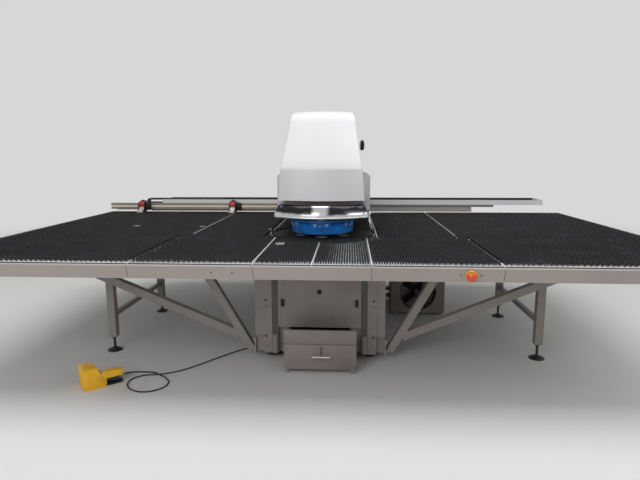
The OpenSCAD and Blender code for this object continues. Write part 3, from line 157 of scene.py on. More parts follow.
cable_line = through(route, 4)
cable_length = sum((b - a).length for a, b in zip(cable_line, cable_line[1:]))
cable_curve = bpy.data.curves.new("pedal_cable_jacket", "CURVE")
cable_curve.dimensions = "3D"
cable_curve.bevel_depth = 1.0
cable_curve.bevel_resolution = 4
cable_curve.use_fill_caps = True
spline = cable_curve.splines.new("POLY")
spline.points.add(len(cable_line) - 1)
for point, place in zip(spline.points, cable_line):
    point.co = (*place, 1)
    point.radius = CABLE_D / 2
cable = bpy.data.objects.new("pedal_cable_jacket", cable_curve)
bpy.context.scene.collection.objects.link(cable)
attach(cable, "machine")
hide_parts("pedal_cable")
print("cable is", round(cable_length, 3), "m long")

# %% [markdown]
# ## Finishes
# A finish has two layers here. The first is a node group: an effect that many materials share, such as the
# soft mottling of old paint or the fine lines of rolled steel. The second is the material itself, with one
# Principled shader that takes what the group puts out. A change to a group then shows on the whole machine.
# The links of a group are written as plain lines: a node and its socket, an arrow, and where the value goes.

# %% Helpers for groups and materials
COLOUR, VALUE = "NodeSocketColor", "NodeSocketFloat"


def new_group(name, **takes):
    """Starts a node group whose inputs have defaults. It gives a colour, a roughness and a height."""
    tree = bpy.data.node_groups.new(name, "ShaderNodeTree")
    for label, value in takes.items():
        kind = COLOUR if isinstance(value, tuple) else VALUE
        socket = tree.interface.new_socket(label.replace("_", " "), in_out="INPUT", socket_type=kind)
        socket.default_value = (*value, 1) if isinstance(value, tuple) else value
    for label, kind in (("Colour", COLOUR), ("Roughness", VALUE), ("Height", VALUE)):
        tree.interface.new_socket(label, in_out="OUTPUT", socket_type=kind)
    tree.nodes.new("NodeGroupInput").name = "takes"
    tree.nodes.new("NodeGroupOutput").name = "gives"
    add(tree, "where", "TexCoord")
    return tree


def add(tree, name, kind, **values):
    """Adds a named node and sets its properties and inputs by name. in_1 is the input with that number."""
    node = tree.nodes.new("ShaderNode" + kind)
    node.name = name
    for label, value in values.items():
        if label.startswith("in_"):
            node.inputs[int(label[3:])].default_value = value
        elif hasattr(node, label):
            setattr(node, label, value)
        else:
            node.inputs[label.replace("_", " ")].default_value = value


def wire(tree, links):
    """Links sockets, a line each: 'node.socket > node.socket, node.socket'. A socket has a name or a number."""
    def find(text, side):
        node, label = text.split(".")
        return getattr(tree.nodes[node.strip()], side)[int(label) if label.isdigit() else label]

    for line in links.strip().splitlines():
        source, targets = line.split(" > ")
        for target in targets.split(", "):
            tree.links.new(find(source, "outputs"), find(target, "inputs"))


print("helpers for node groups ready")

# %% [markdown]
# **Aged paint.** Shop paint is never one colour. It has broad clouds of grime, a fine grain from the spray gun
# and a few darker scuffs. Three noises of different size do this, and the finest one also lifts the surface.

# %% Group for aged paint
paint_tree = new_group("Aged paint", Paint=(0.5, 0.5, 0.5), Grime=(0.2, 0.18, 0.15), Cloud_size=3.0,
                       Grime_amount=0.3, Roughness=0.45, Spray_size=400.0)
add(paint_tree, "clouds", "TexNoise", Detail=6.0, Roughness=0.6)
add(paint_tree, "scuffs", "TexNoise", Scale=23.0, Detail=8.0, Roughness=0.75)
add(paint_tree, "spray", "TexNoise", Detail=2.0)
add(paint_tree, "cloud_mask", "MapRange", From_Min=0.42, From_Max=0.72)
add(paint_tree, "scuff_mask", "MapRange", From_Min=0.6, From_Max=0.75, To_Max=0.5)
add(paint_tree, "both", "Math", operation="MAXIMUM")
add(paint_tree, "amount", "Math", operation="MULTIPLY", use_clamp=True)
add(paint_tree, "blend", "Mix", data_type="RGBA")
add(paint_tree, "rougher", "Math", operation="MULTIPLY_ADD", in_1=0.25)
wire(paint_tree, """
    where.Object > clouds.Vector, scuffs.Vector, spray.Vector
    takes.Cloud size > clouds.Scale
    takes.Spray size > spray.Scale
    clouds.Fac > cloud_mask.Value
    scuffs.Fac > scuff_mask.Value
    cloud_mask.Result > both.0
    scuff_mask.Result > both.1
    both.0 > amount.0
    takes.Grime amount > amount.1
    amount.0 > blend.Factor, rougher.0
    takes.Paint > blend.6
    takes.Grime > blend.7
    blend.2 > gives.Colour
    takes.Roughness > rougher.2
    rougher.0 > gives.Roughness
    spray.Fac > gives.Height
""")
print("aged paint has", len(paint_tree.nodes), "nodes")

# %% [markdown]
# **Rolled metal.** Sheet and profile come from rollers and dies, which leave fine lines along one axis.
# A noise that is squeezed along that axis by a Mapping node draws them. The same lines change the colour,
# the roughness and the height a little, which is what makes metal look like metal when it is turned.

# %% Groups for rolled metal, one for each direction of the lines
rolled = {}
for axis, squeeze in {"x": (0.02, 1, 1), "y": (1, 0.02, 1), "z": (1, 1, 0.02)}.items():
    tree = new_group(f"Rolled metal along {axis}", Metal=(0.6, 0.6, 0.6), Stain=(0.3, 0.28, 0.25),
                     Line_size=300.0, Stain_amount=0.3, Roughness=0.3)
    add(tree, "squeezed", "Mapping", Scale=squeeze)
    add(tree, "lines", "TexNoise", Detail=4.0, Roughness=0.6)
    add(tree, "stains", "TexNoise", Scale=6.0, Detail=5.0)
    add(tree, "stain_mask", "MapRange", From_Min=0.45, From_Max=0.75)
    add(tree, "amount", "Math", operation="MULTIPLY", use_clamp=True)
    add(tree, "tint", "Mix", data_type="RGBA")
    add(tree, "rougher", "Math", operation="MULTIPLY_ADD", in_1=0.3)
    wire(tree, """
        where.Object > squeezed.Vector, stains.Vector
        squeezed.0 > lines.Vector
        takes.Line size > lines.Scale
        stains.Fac > stain_mask.Value
        stain_mask.0 > amount.0
        takes.Stain amount > amount.1
        amount.0 > tint.Factor
        takes.Metal > tint.6
        takes.Stain > tint.7
        tint.2 > gives.Colour
        lines.Fac > rougher.0, gives.Height
        takes.Roughness > rougher.2
        rougher.0 > gives.Roughness
    """)
    rolled[axis] = tree
print("rolled metal groups:", ", ".join(sorted(rolled)))


# %% A material that takes its colour, roughness and height from a group
def finish_from(name, tree, bump, relief, metallic=0.0, coat=0.0, specular=0.5, **values):
    """A Principled material fed by one of the groups, with its bump depth in metres."""
    material = bpy.data.materials.new(name)
    material.use_nodes = True
    inner = material.node_tree
    effect = inner.nodes.new("ShaderNodeGroup")
    effect.name, effect.node_tree = "effect", tree
    for label, value in values.items():
        socket = effect.inputs[label.replace("_", " ")]
        socket.default_value = (*value, 1) if isinstance(value, tuple) else value
    add(inner, "relief", "Bump", Strength=bump, Distance=relief)
    shader = inner.nodes["Principled BSDF"]
    shader.inputs["Metallic"].default_value = metallic
    shader.inputs["Coat Weight"].default_value = coat
    shader.inputs["Coat Roughness"].default_value = 0.08
    shader.inputs["Specular IOR Level"].default_value = specular
    wire(inner, """
        effect.Colour > Principled BSDF.Base Color
        effect.Roughness > Principled BSDF.Roughness
        effect.Height > relief.Height
        relief.0 > Principled BSDF.Normal
    """)
    return material


def painted(name, paint, grime, cloud_size, grime_amount, rough, spray=700.0, bump=0.15, relief=0.0003,
            **shine):
    """Aged paint, enamel or plastic."""
    return finish_from(name, paint_tree, bump, relief, Paint=paint, Grime=grime, Cloud_size=cloud_size,
                       Grime_amount=grime_amount, Roughness=rough, Spray_size=spray, **shine)


def lined(name, axis, metal, stain, line_size, stained, rough, bump=0.10, relief=0.0002, **shine):
    """Metal, or another stuff, with fine lines along an axis."""
    return finish_from(name, rolled[axis], bump, relief, Metal=metal, Stain=stain, Line_size=line_size,
                       Stain_amount=stained, Roughness=rough, **shine)


print("helpers for finishes ready")

# %% [markdown]
# The frame, the base's covers and the aprons wear three shades of one warm grey, the hood a clean white, and
# the turret casting a deep blue enamel with a wet gloss, which a clear coat over the paint gives. Each line
# holds the paint, the grime, the clouds' size, how much grime there is, and the roughness. After these come
# the fineness of the spray's grain and the bump, where they aren't the usual ones.

# %% Painted finishes
frame_paint = painted("Frame paint", (0.29, 0.262, 0.240), (0.12, 0.105, 0.09), 1.6, 0.35, 0.38)
base_paint = painted("Base paint", (0.27, 0.235, 0.212), (0.12, 0.10, 0.085), 2.2, 0.5, 0.42)
apron_paint = painted("Apron paint", (0.37, 0.325, 0.300), (0.23, 0.195, 0.17), 1.2, 0.25, 0.33, bump=0.10)
dark_paint = painted("Dark paint", (0.035, 0.035, 0.038), (0.10, 0.09, 0.08), 4.0, 0.4, 0.5, 600.0, 0.2)
hood_white = painted("Hood white", (0.68, 0.68, 0.695), (0.54, 0.53, 0.53), 2.0, 0.18, 0.30, 900.0, 0.06,
                     0.0002)
turret_blue = painted("Turret blue", (0.016, 0.200, 0.640), (0.008, 0.05, 0.17), 9.0, 0.5, 0.32, 160.0, 0.5,
                      0.0012, coat=0.6)
clamp_red = painted("Clamp red", (0.40, 0.022, 0.016), (0.10, 0.02, 0.02), 18.0, 0.5, 0.35)
vent_grey = painted("Vent grey", (0.105, 0.10, 0.097), (0.05, 0.045, 0.04), 5.0, 0.4, 0.45, 600.0)
pedal_yellow = painted("Pedal yellow", (0.93, 0.50, 0.014), (0.36, 0.17, 0.01), 11.0, 0.45, 0.42, 500.0, 0.25,
                       0.0004)
stop_red = painted("Stop red", (0.72, 0.07, 0.012), (0.3, 0.05, 0.01), 30.0, 0.2, 0.28, 900.0, 0.05, 0.0002,
                   coat=0.3)
stop_yellow = painted("Stop yellow", (0.82, 0.45, 0.015), (0.4, 0.2, 0.02), 30.0, 0.25, 0.4, 900.0, 0.1, 0.0002)
treadle_blue = painted("Treadle blue", (0.010, 0.016, 0.045), (0.05, 0.05, 0.05), 20.0, 0.4, 0.45, 600.0, 0.3,
                       0.0004)
black_plastic = painted("Black plastic", (0.010, 0.010, 0.011), (0.030, 0.029, 0.027), 14.0, 0.4, 0.48, 900.0,
                        0.3, 0.0003, specular=0.3)
cable_black = painted("Cable jacket", (0.016, 0.016, 0.018), (0.07, 0.065, 0.06), 25.0, 0.5, 0.5, 900.0, 0.25,
                      0.0002)
pale_nylon = painted("Pale nylon", (0.62, 0.62, 0.58), (0.30, 0.29, 0.26), 60.0, 0.5, 0.5, 900.0, 0.4, 0.0005)
print("painted finishes ready")

# %% [markdown]
# Bare metals differ by their colour, by the direction and fineness of their lines, and by how stained and how
# rough they are. Bristles and the bright brush board have fine lines too, so they share the group.

# %% Bare metal finishes, bristles and the bright board
machined = lined("Machined steel", "z", (0.58, 0.58, 0.59), (0.36, 0.34, 0.31), 700.0, 0.35, 0.26, 0.15,
                 metallic=1.0)
zinc = lined("Zinc sheet", "y", (0.72, 0.73, 0.74), (0.50, 0.50, 0.49), 260.0, 0.3, 0.30, metallic=1.0)
aluminium = lined("Anodised aluminium", "x", (0.50, 0.485, 0.465), (0.30, 0.28, 0.26), 400.0, 0.25, 0.32,
                  metallic=0.9)
carriage_grey = lined("Oiled profile", "x", (0.30, 0.27, 0.235), (0.20, 0.17, 0.14), 400.0, 0.4, 0.36,
                      metallic=0.85)
blackened = lined("Blackened steel", "x", (0.045, 0.046, 0.05), (0.12, 0.10, 0.08), 300.0, 0.4, 0.36, 0.25,
                  0.0003, metallic=0.8)
rim_steel = lined("Rim steel", "x", (0.80, 0.80, 0.81), (0.60, 0.60, 0.60), 500.0, 0.2, 0.22, 0.05, 0.0001,
                  metallic=0.8)
# The cream colour is a painted highlight. It stands for the shine along the carriage's polished rail.
cream_highlight = lined("Painted highlight strip", "x", (0.92, 0.82, 0.64), (0.70, 0.60, 0.44), 500.0, 0.3, 0.28, 0.06, 0.0001)
oiled_black = lined("Oiled black steel", "y", (0.004, 0.004, 0.005), (0.010, 0.010, 0.009), 300.0, 0.4, 0.5,
                    0.08, specular=0.15)
bristle = lined("Bristle", "z", (0.008, 0.008, 0.010), (0.030, 0.030, 0.034), 1500.0, 0.7, 0.32, 0.9, 0.002)
board_bright = lined("Worn brush board", "y", (0.44, 0.445, 0.47), (0.22, 0.22, 0.235), 60.0, 0.6, 0.36, 0.3,
                     0.0004, metallic=0.4)
print("metal finishes ready")

# %% [markdown]
# **A mirror's dark band.** Polished steel shows its surroundings. Under the hood the skirt mirrors the dark
# underside above it, and one lamp as a hot spot in its middle. The group paints both by height and width.

# %% Skirt steel with its dark band
band_tree = new_group("Mirror band", Metal=(0.7, 0.7, 0.7), Shade=(0.1, 0.1, 0.1), Low=1.13, High=1.19,
                      Roughness=0.12)
add(band_tree, "split", "SeparateXYZ")
add(band_tree, "sweep", "Math", operation="MULTIPLY")
add(band_tree, "lens", "Math", operation="MULTIPLY_ADD", in_1=-0.10)
add(band_tree, "streaks", "TexNoise", Scale=9.0, Detail=3.0)
add(band_tree, "ragged", "Math", operation="MULTIPLY_ADD", in_1=0.03)
add(band_tree, "band", "MapRange", interpolation_type="SMOOTHSTEP")
add(band_tree, "offset", "Math", operation="ABSOLUTE")
add(band_tree, "spot", "MapRange", interpolation_type="SMOOTHSTEP", From_Min=0.035, From_Max=0.080)
add(band_tree, "shade", "Math", operation="MULTIPLY")
add(band_tree, "tint", "Mix", data_type="RGBA")
wire(band_tree, """
    where.Object > split.0, streaks.Vector
    split.X > sweep.0, sweep.1, offset.0
    sweep.0 > lens.0
    split.Z > lens.2
    streaks.Fac > ragged.0, gives.Height
    lens.0 > ragged.2
    ragged.0 > band.Value
    takes.Low > band.From Min
    takes.High > band.From Max
    offset.0 > spot.Value
    band.Result > shade.0
    spot.Result > shade.1
    shade.0 > tint.Factor
    takes.Metal > tint.6
    takes.Shade > tint.7
    tint.2 > gives.Colour
    takes.Roughness > gives.Roughness
""")
skirt_steel = finish_from(
    "Skirt steel", band_tree, 0.05, 0.0002, metallic=1.0, Metal=(0.62, 0.62, 0.63), Shade=(0.035, 0.035, 0.040),
    Low=1.140, High=1.163, Roughness=0.16)
print("skirt steel ready")

# %% [markdown]
# ** Lighter towards the lip.** The brush boards are lighter at the front edge, where they show between the first
# rows of tufts, and black further in. The group blends two colours along the depth, and a noise frays the
# border.

# %% Group for the lighter lip, and the boards that have it
lip_tone_tree = new_group("Lighter at the lip", Worn=(0.5, 0.5, 0.5), Clean=(0.02, 0.02, 0.02), Near=0.0, Far=0.5,
                      Roughness=0.4)
add(lip_tone_tree, "split", "SeparateXYZ")
add(lip_tone_tree, "patches", "TexNoise", Scale=7.0, Detail=6.0, Roughness=0.7)
add(lip_tone_tree, "frayed", "Math", operation="MULTIPLY_ADD", in_1=0.4)
add(lip_tone_tree, "faded", "MapRange")
add(lip_tone_tree, "tint", "Mix", data_type="RGBA")
wire(lip_tone_tree, """
    where.Object > split.0, patches.Vector
    patches.Fac > frayed.0, gives.Height
    split.Y > frayed.2
    frayed.0 > faded.Value
    takes.Near > faded.From Min
    takes.Far > faded.From Max
    faded.Result > tint.Factor
    takes.Worn > tint.6
    takes.Clean > tint.7
    tint.2 > gives.Colour
    takes.Roughness > gives.Roughness
""")
board_black = finish_from(
    "Brush board", lip_tone_tree, 0.4, 0.0005, Worn=(0.10, 0.10, 0.11), Clean=(0.012, 0.012, 0.014),
    Near=depth(1.0), Far=depth(1.5), Roughness=0.5)
# This board is lighter towards the front lip, where it shows between the first rows of tufts.
board_lighter_at_lip = finish_from(
    "Brush board lighter at the lip", lip_tone_tree, 0.4, 0.0005, Worn=(0.26, 0.262, 0.28), Clean=(0.045, 0.045, 0.05),
    Near=depth(0.10), Far=depth(0.75), Roughness=0.38)
print("lighter lip has", len(lip_tone_tree.nodes), "nodes")

# %% [markdown]
# ## Dress the CAD nodes
# A node whose shape is right keeps its mesh and only changes its material. One table pairs each finish with
# its nodes. The loop prints the nodes that nobody dressed, which are those that new pieces replace below.

# %% Give each CAD node its finish
node_finish = {
    frame_paint: ["c_frame", "frame_webs", "frame_brackets", "side_frame_left", "side_frame_right", "struts",
                  "control_cabinet", "cabinet_door"],
    base_paint: ["base_front_cover", "fascia_left", "fascia_right", "power_unit"],
    apron_paint: ["apron_centre", "apron_inner_left", "apron_inner_right", "apron_outer_left",
                  "apron_outer_right"],
    dark_paint: ["ram_cylinder", "index_motor"],
    vent_grey: ["vent_strips"],
    hood_white: ["chain_tray", "arm_cheek_left", "arm_cheek_right"],
    turret_blue: ["upper_turret"],
    machined: ["ram_striker", "turret_spindle", "turret_gear", "dies", "index_pinion", "y_rails", "jaw_left",
               "jaw_right"],
    zinc: ["tray_front_centre", "trays_front_sides", "tray_back_centre", "trays_back_sides"],
    aluminium: ["bridge_beam"],
    carriage_grey: ["x_carriage"],
    oiled_black: ["lower_turret", "cooler_fan"],
    blackened: ["machine_feet", "table_feet", "x_blocks"],
    black_plastic: ["cover_locks", "drag_chain"],
    stop_red: ["stop_button"],
    stop_yellow: ["stop_base"],
    treadle_blue: ["pedal_treadle"],
}
dressed = set()
for finish, names in node_finish.items():
    for name in names:
        surface = nodes[name].data
        surface.materials.clear()
        surface.materials.append(finish)
        dressed.add(name)
cable_curve.materials.append(cable_black)
print("dressed", len(dressed), "nodes, left bare:", sorted(set(nodes) - dressed))

# %% [markdown]
# ## Helpers for new pieces
# Every new piece is grown in a bmesh by Blender's own operators. When it is ready it becomes one object at the
# origin, its faces turned outwards and its sharp edges marked. It then rides on a body of the machine and
# stands in for the CAD node that it refines.

# %% Turn a bmesh into a piece
def make_piece(name, build, body, finish, slot, *stands_for, sharp_degrees=35):
    """One finished object that rides on a body and replaces CAD nodes. It may have a list of finishes."""
    bmesh.ops.recalc_face_normals(build, faces=build.faces)
    limit = math.radians(sharp_degrees)
    for face in build.faces:
        face.smooth = True
    for edge in build.edges:
        edge.smooth = edge.calc_face_angle(0.0) < limit
    mesh = bpy.data.meshes.new(name)
    build.to_mesh(mesh)
    build.free()
    for layer in finish if isinstance(finish, list) else [finish]:
        mesh.materials.append(layer)
    piece = bpy.data.objects.new(name, mesh)
    bpy.context.scene.collection.objects.link(piece)
    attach(piece, body)
    for node in stands_for:
        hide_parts(node)
    return piece


print("helper for pieces ready")


# %% Boxes, rods, turned shapes and prisms
def add_box(build, corner, opposite, bevel=0.0, place=Matrix()):
    """A box between two opposite corners, with its edges rounded."""
    low, high = (Vector([pick(pair) for pair in zip(corner, opposite)]) for pick in (min, max))
    size = Matrix.Diagonal((*(high - low), 1))
    made = bmesh.ops.create_cube(build, size=1.0, matrix=place @ Matrix.Translation((low + high) / 2) @ size)
    if bevel:
        bmesh.ops.bevel(build, geom=edges_of(made["verts"]), offset=bevel, segments=2, profile=0.5,
                        affect="EDGES", material=-1)


def edges_of(verts):
    """Every edge that meets one of the vertices, once each. A set would give them in another order each run."""
    return list(dict.fromkeys(edge for vert in verts for edge in vert.link_edges))


def add_rod(build, start, end, radius, tip=None, sides=24):
    """A round bar, or a cone where the tip's radius differs."""
    start, end = Vector(start), Vector(end)
    turn = (end - start).to_track_quat("Z", "Y").to_matrix().to_4x4()
    bmesh.ops.create_cone(
        build, cap_ends=True, segments=sides, radius1=radius, radius2=radius if tip is None else tip,
        depth=(end - start).length, matrix=Matrix.Translation((start + end) / 2) @ turn)


def facing(place, axis):
    """The matrix that turns +Z to an axis and moves the origin to a place."""
    return Matrix.Translation(place) @ Vector((0, 0, 1)).rotation_difference(axis).to_matrix().to_4x4()


def add_turned(build, profile, centre, axis, steps=48):
    """Spins a profile of (radius, height) pairs about an axis. A closed profile repeats its first pair."""
    centre, axis = Vector(centre), Vector(axis)
    place = facing(centre, axis)
    chain = [build.verts.new(place @ Vector((radius, 0, height))) for radius, height in profile]
    edges = [build.edges.new(pair) for pair in zip(chain, chain[1:])]
    bmesh.ops.spin(build, geom=chain + edges, cent=centre, axis=axis, angle=math.tau, steps=steps,
                   use_merge=True)
    bmesh.ops.remove_doubles(build, verts=build.verts[:], dist=0.00002)


def add_prism(build, outline, low, high, place=Matrix()):
    """Pushes an outline in a local XZ plane along the local Y."""
    face = build.faces.new([build.verts.new(place @ Vector((x, low, z))) for x, z in outline])
    grown = bmesh.ops.extrude_face_region(build, geom=[face])["geom"]
    moved = [item for item in grown if isinstance(item, bmesh.types.BMVert)]
    bmesh.ops.translate(build, verts=moved, vec=place.to_3x3() @ Vector((0, high - low, 0)))


def bridge(build, rings):
    """Spans faces from each ring or line of edges to the next one."""
    for low, high in zip(rings, rings[1:]):
        bmesh.ops.bridge_loops(build, edges=low + high)


print("helpers for shapes ready")

# %% [markdown]
# A hole is cut by a second shape that is taken away from the first, as a punch would do. Blender's Boolean
# modifier does it. Its result is written back to the mesh, so the finished piece carries no cutter about.
# Bevel and Solidify, which round the edges and give a skin its thickness, are settled in the same way.

# %% Cut a piece, round its edges and give it a wall
def settle(piece, name, kind, **values):
    """Puts a modifier on a piece and keeps what it makes as the piece's own mesh."""
    modifier = piece.modifiers.new(name, kind)
    for label, value in values.items():
        setattr(modifier, label, value)
    graph = bpy.context.evaluated_depsgraph_get()
    finished = bpy.data.meshes.new_from_object(piece.evaluated_get(graph))
    piece.modifiers.clear()
    piece.data = finished
    piece.data.set_sharp_from_angle(angle=math.radians(35))


def cut_away(piece, cutter_build):
    """Takes the cutter's solid away from the piece."""
    bmesh.ops.recalc_face_normals(cutter_build, faces=cutter_build.faces)
    cutter_mesh = bpy.data.meshes.new("cutter")
    cutter_build.to_mesh(cutter_mesh)
    cutter_build.free()
    cutter = bpy.data.objects.new("cutter", cutter_mesh)
    bpy.context.scene.collection.objects.link(cutter)
    settle(piece, "cut", "BOOLEAN", operation="DIFFERENCE", object=cutter, solver="EXACT")
    bpy.data.objects.remove(cutter)


def round_edges(piece, width):
    """Rounds every edge that is sharper than 40 degrees."""
    settle(piece, "round", "BEVEL", width=width, segments=2, limit_method="ANGLE", angle_limit=math.radians(40))
    for face in piece.data.polygons:
        face.use_smooth = True


def thicken(piece, thickness):
    """Gives a skin its thickness, inwards."""
    settle(piece, "wall", "SOLIDIFY", thickness=thickness, offset=-1.0)


print("helpers for cuts and edges ready")

# %% [markdown]
# ## The brush table
# The table is a field of nylon brushes, so sheet metal slides over it without a scratch. Each brush mat is a
# black board with tufts in rows from front to back. A tuft is tied at its foot and spreads towards its tip.
# A tuft is small, so one five-sided cone with a raised crown is enough, and it is set down about 27,000 times.
# Every second row is shifted by half a step, and a little seeded noise keeps the tips from lining up.

# %% Where the mats lie
TRAY_Z, TRAY_T, TRAY_GAP, FIT = 0.890, 0.003, 0.003, 0.0005
EDGE = TRAY_T + FIT
BOARD_TOP = TRAY_Z + TRAY_T + 0.022
BRUSH_TOP = RIM + 0.025
HALF = (cad_high.x - cad_low.x) / 2
apron_in = TRAY_T + 0.030 * (RIM - 0.008 - TRAY_Z) / (RIM - 0.008 - 0.840) + 0.0006
SEAM_CENTRE, SEAM_OUTER, SEAM_BACK, SEAM_ROW = 0.362, 1.151, 1.080, 1.020
SLOT_IN, SLOT_OUT, SLOT_START = 0.425, 0.455, 1.500
front_span = (apron_in, SEAM_ROW - TRAY_GAP / 2)
back_span = (SEAM_ROW + TRAY_GAP / 2, 2.846 - apron_in)
right_mats = [
    ("front_centre", 0.004 - TRAY_T, SEAM_CENTRE - TRAY_GAP / 2, *front_span),
    ("front_inner", SEAM_CENTRE + TRAY_GAP / 2, SEAM_OUTER - TRAY_GAP / 2, *front_span),
    ("front_outer", SEAM_OUTER + TRAY_GAP / 2, HALF - apron_in, *front_span),
    ("back_inner", SLOT_OUT, SEAM_BACK - TRAY_GAP / 2, *back_span),
    ("back_outer", SEAM_BACK + TRAY_GAP / 2, HALF - apron_in, *back_span),
]
mats = [(f"mat_{name}_right", x0, x1, y0, y1) for name, x0, x1, y0, y1 in right_mats]
mats += [(f"mat_{name}_left", -x1, -x0, y0, y1) for name, x0, x1, y0, y1 in right_mats]
mats.append(("mat_by_turret", -SLOT_OUT + TRAY_GAP, SLOT_OUT - TRAY_GAP, back_span[0], SLOT_START))
mats.append(("mat_behind_turret", -SLOT_IN, SLOT_IN, SLOT_START + TRAY_GAP, back_span[1]))
print(len(mats), "mats, brushes", round(BRUSH_TOP - BOARD_TOP, 3), "m tall")

# %% One tuft, in black and in the pale nylon of a few repaired spots
ROW_STEP, TUFT_STEP = 0.0164, 0.030
TUFT_FOOT, TUFT_TIP, CROWN = 0.0030, 0.0056, 0.002
LIP_BARE = 0.048
PALE_SPOTS = [(-0.285, 0.682, 0.034, 0.035), (-0.460, 1.433, 0.030, 0.022), (-1.132, 1.570, 0.020, 0.02),
              (-1.754, 1.584, 0.020, 0.02)]


def tuft_mesh(name, material_index):
    """A five-sided tuft that stands on the board's top and flares towards its crown."""
    build = bmesh.new()
    tall = BRUSH_TOP - BOARD_TOP - CROWN
    bmesh.ops.create_cone(build, cap_ends=True, segments=5, radius1=TUFT_FOOT, radius2=TUFT_TIP, depth=tall,
                          matrix=Matrix.Translation((0, 0, BOARD_TOP + tall / 2)))
    crown = max(build.faces, key=lambda face: face.calc_center_median().z)
    peak = bmesh.ops.poke(build, faces=[crown])["verts"]
    bmesh.ops.translate(build, verts=peak, vec=(0, 0, CROWN))
    for face in build.faces:
        face.material_index = material_index
    mesh = bpy.data.meshes.new(name)
    build.to_mesh(mesh)
    build.free()
    return mesh


tuft_black, tuft_pale = tuft_mesh("tuft_black", 0), tuft_mesh("tuft_pale", 2)
print("one tuft has", sum(len(face.vertices) - 2 for face in tuft_black.polygons), "triangles")


# %% Set the tufts on their boards
def mat_board(name, x0, x1, y0, y1, finishes):
    """The board of one mat, cut round where the turret's opening crosses it."""
    build = bmesh.new()
    add_box(build, (x0 + EDGE, depth(y0 + EDGE), TRAY_Z + TRAY_T), (x1 - EDGE, depth(y1 - EDGE), BOARD_TOP))
    board = make_piece(name, build, "machine", finishes, "bristle")
    for face in board.data.polygons:
        face.material_index = 1
    nearest = Vector((max(x0, min(0, x1)), max(depth(y0), min(TURRET_Y, depth(y1)))))
    if (nearest - Vector((0, TURRET_Y))).length < CUT_R + EDGE:
        cutter = bmesh.new()
        add_rod(cutter, (0, TURRET_Y, TRAY_Z - 0.1), (0, TURRET_Y, BRUSH_TOP + 0.1), CUT_R + EDGE, sides=96)
        cut_away(board, cutter)
    return board


def tuft_places(x0, x1, y0, y1, dice):
    """Every tuft's place on a mat, row by row, with the tips a little out of line."""
    a, b = x0 + EDGE, x1 - EDGE
    rows = math.floor((b - a - 0.002) / ROW_STEP)
    start = a + (b - a - rows * ROW_STEP) / 2
    near, far = depth(y0) + EDGE + TUFT_TIP, depth(y1) - EDGE - TUFT_TIP
    if y0 == apron_in:
        near += LIP_BARE
    count = math.floor((far - near) / TUFT_STEP)
    step = (far - near) / (count + 0.5)
    for row in range(rows):
        x = start + (row + 0.5) * ROW_STEP
        for k in range(count + 1):
            y = near + (k + 0.5 * (row % 2)) * step
            if Vector((x, y - TURRET_Y)).length > CUT_R + TRAY_T + TUFT_TIP + 0.002:
                yield x + dice.uniform(-0.0011, 0.0011), y + dice.uniform(-0.003, 0.003)


def is_pale(x, y):
    """Whether a tuft lies on one of the repaired spots."""
    return any(abs(x - cx) < half_x and abs(y - depth(cy)) < half_y for cx, cy, half_x, half_y in PALE_SPOTS)


dice = random.Random(5)
tuft_total = 0
for name, x0, x1, y0, y1 in mats:
    board_look = board_bright if "front_centre" in name else board_lighter_at_lip if "front" in name else board_black
    mat = mat_board(name, x0, x1, y0, y1, [bristle, board_look, pale_nylon])
    build = bmesh.new()
    build.from_mesh(mat.data)
    for x, y in tuft_places(x0, x1, y0, y1, dice):
        tuft = tuft_pale if is_pale(x, y) else tuft_black
        tuft.transform(Matrix.Translation((x, y, 0)))
        build.from_mesh(tuft)
        tuft.transform(Matrix.Translation((-x, -y, 0)))
        tuft_total += 1
    build.to_mesh(mat.data)
    build.free()
    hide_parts("brushes_front" if "front" in name else "brushes_back")
print(tuft_total, "tufts on", len(mats), "mats")

# %% [markdown]
# Between two trays a folded strip of bright sheet covers the joint. From the front it shows as a light line
# where it runs away from the eye, and as a row of dots where the tufts stand before it. Along the front lip a
# bright strip lies on the boards before the first tufts and under them. A black strip at its front edge is
# painted shade: it stands for the dark gap before the bright strip.

# %% Joint strips, lip strips and a black strip of painted shade at the lip
LIP_IN, STRIP_HALF, STRIP_Z, SOFT = apron_in + 0.004, 0.0042, RIM + 0.0002, 0.0006
REACH = HALF - apron_in - 0.004
strips = bmesh.new()
add_box(strips, (-STRIP_HALF, depth(LIP_IN), STRIP_Z), (STRIP_HALF, depth(0.785), RIM + 0.016), SOFT)
for side in (-1, 1):
    for x, half, near, far, tall in (
            (SEAM_CENTRE, STRIP_HALF, LIP_IN, 0.980, 0.020), (SEAM_OUTER, STRIP_HALF, LIP_IN, 1.014, 0.010),
            (SEAM_BACK, 0.0024, 1.150, 2.840, 0.020), (SEAM_BACK, STRIP_HALF, 1.026, 1.149, 0.009)):
        add_box(strips, (side * (x - half), depth(near), STRIP_Z), (side * (x + half), depth(far), RIM + tall),
                SOFT)
    add_box(strips, (side * 0.392, depth(SEAM_ROW) - STRIP_HALF, STRIP_Z),
            (side * REACH, depth(SEAM_ROW) + STRIP_HALF, RIM + 0.008), SOFT)
make_piece("joint_strips", strips, "machine", zinc, "zinc_sheet")

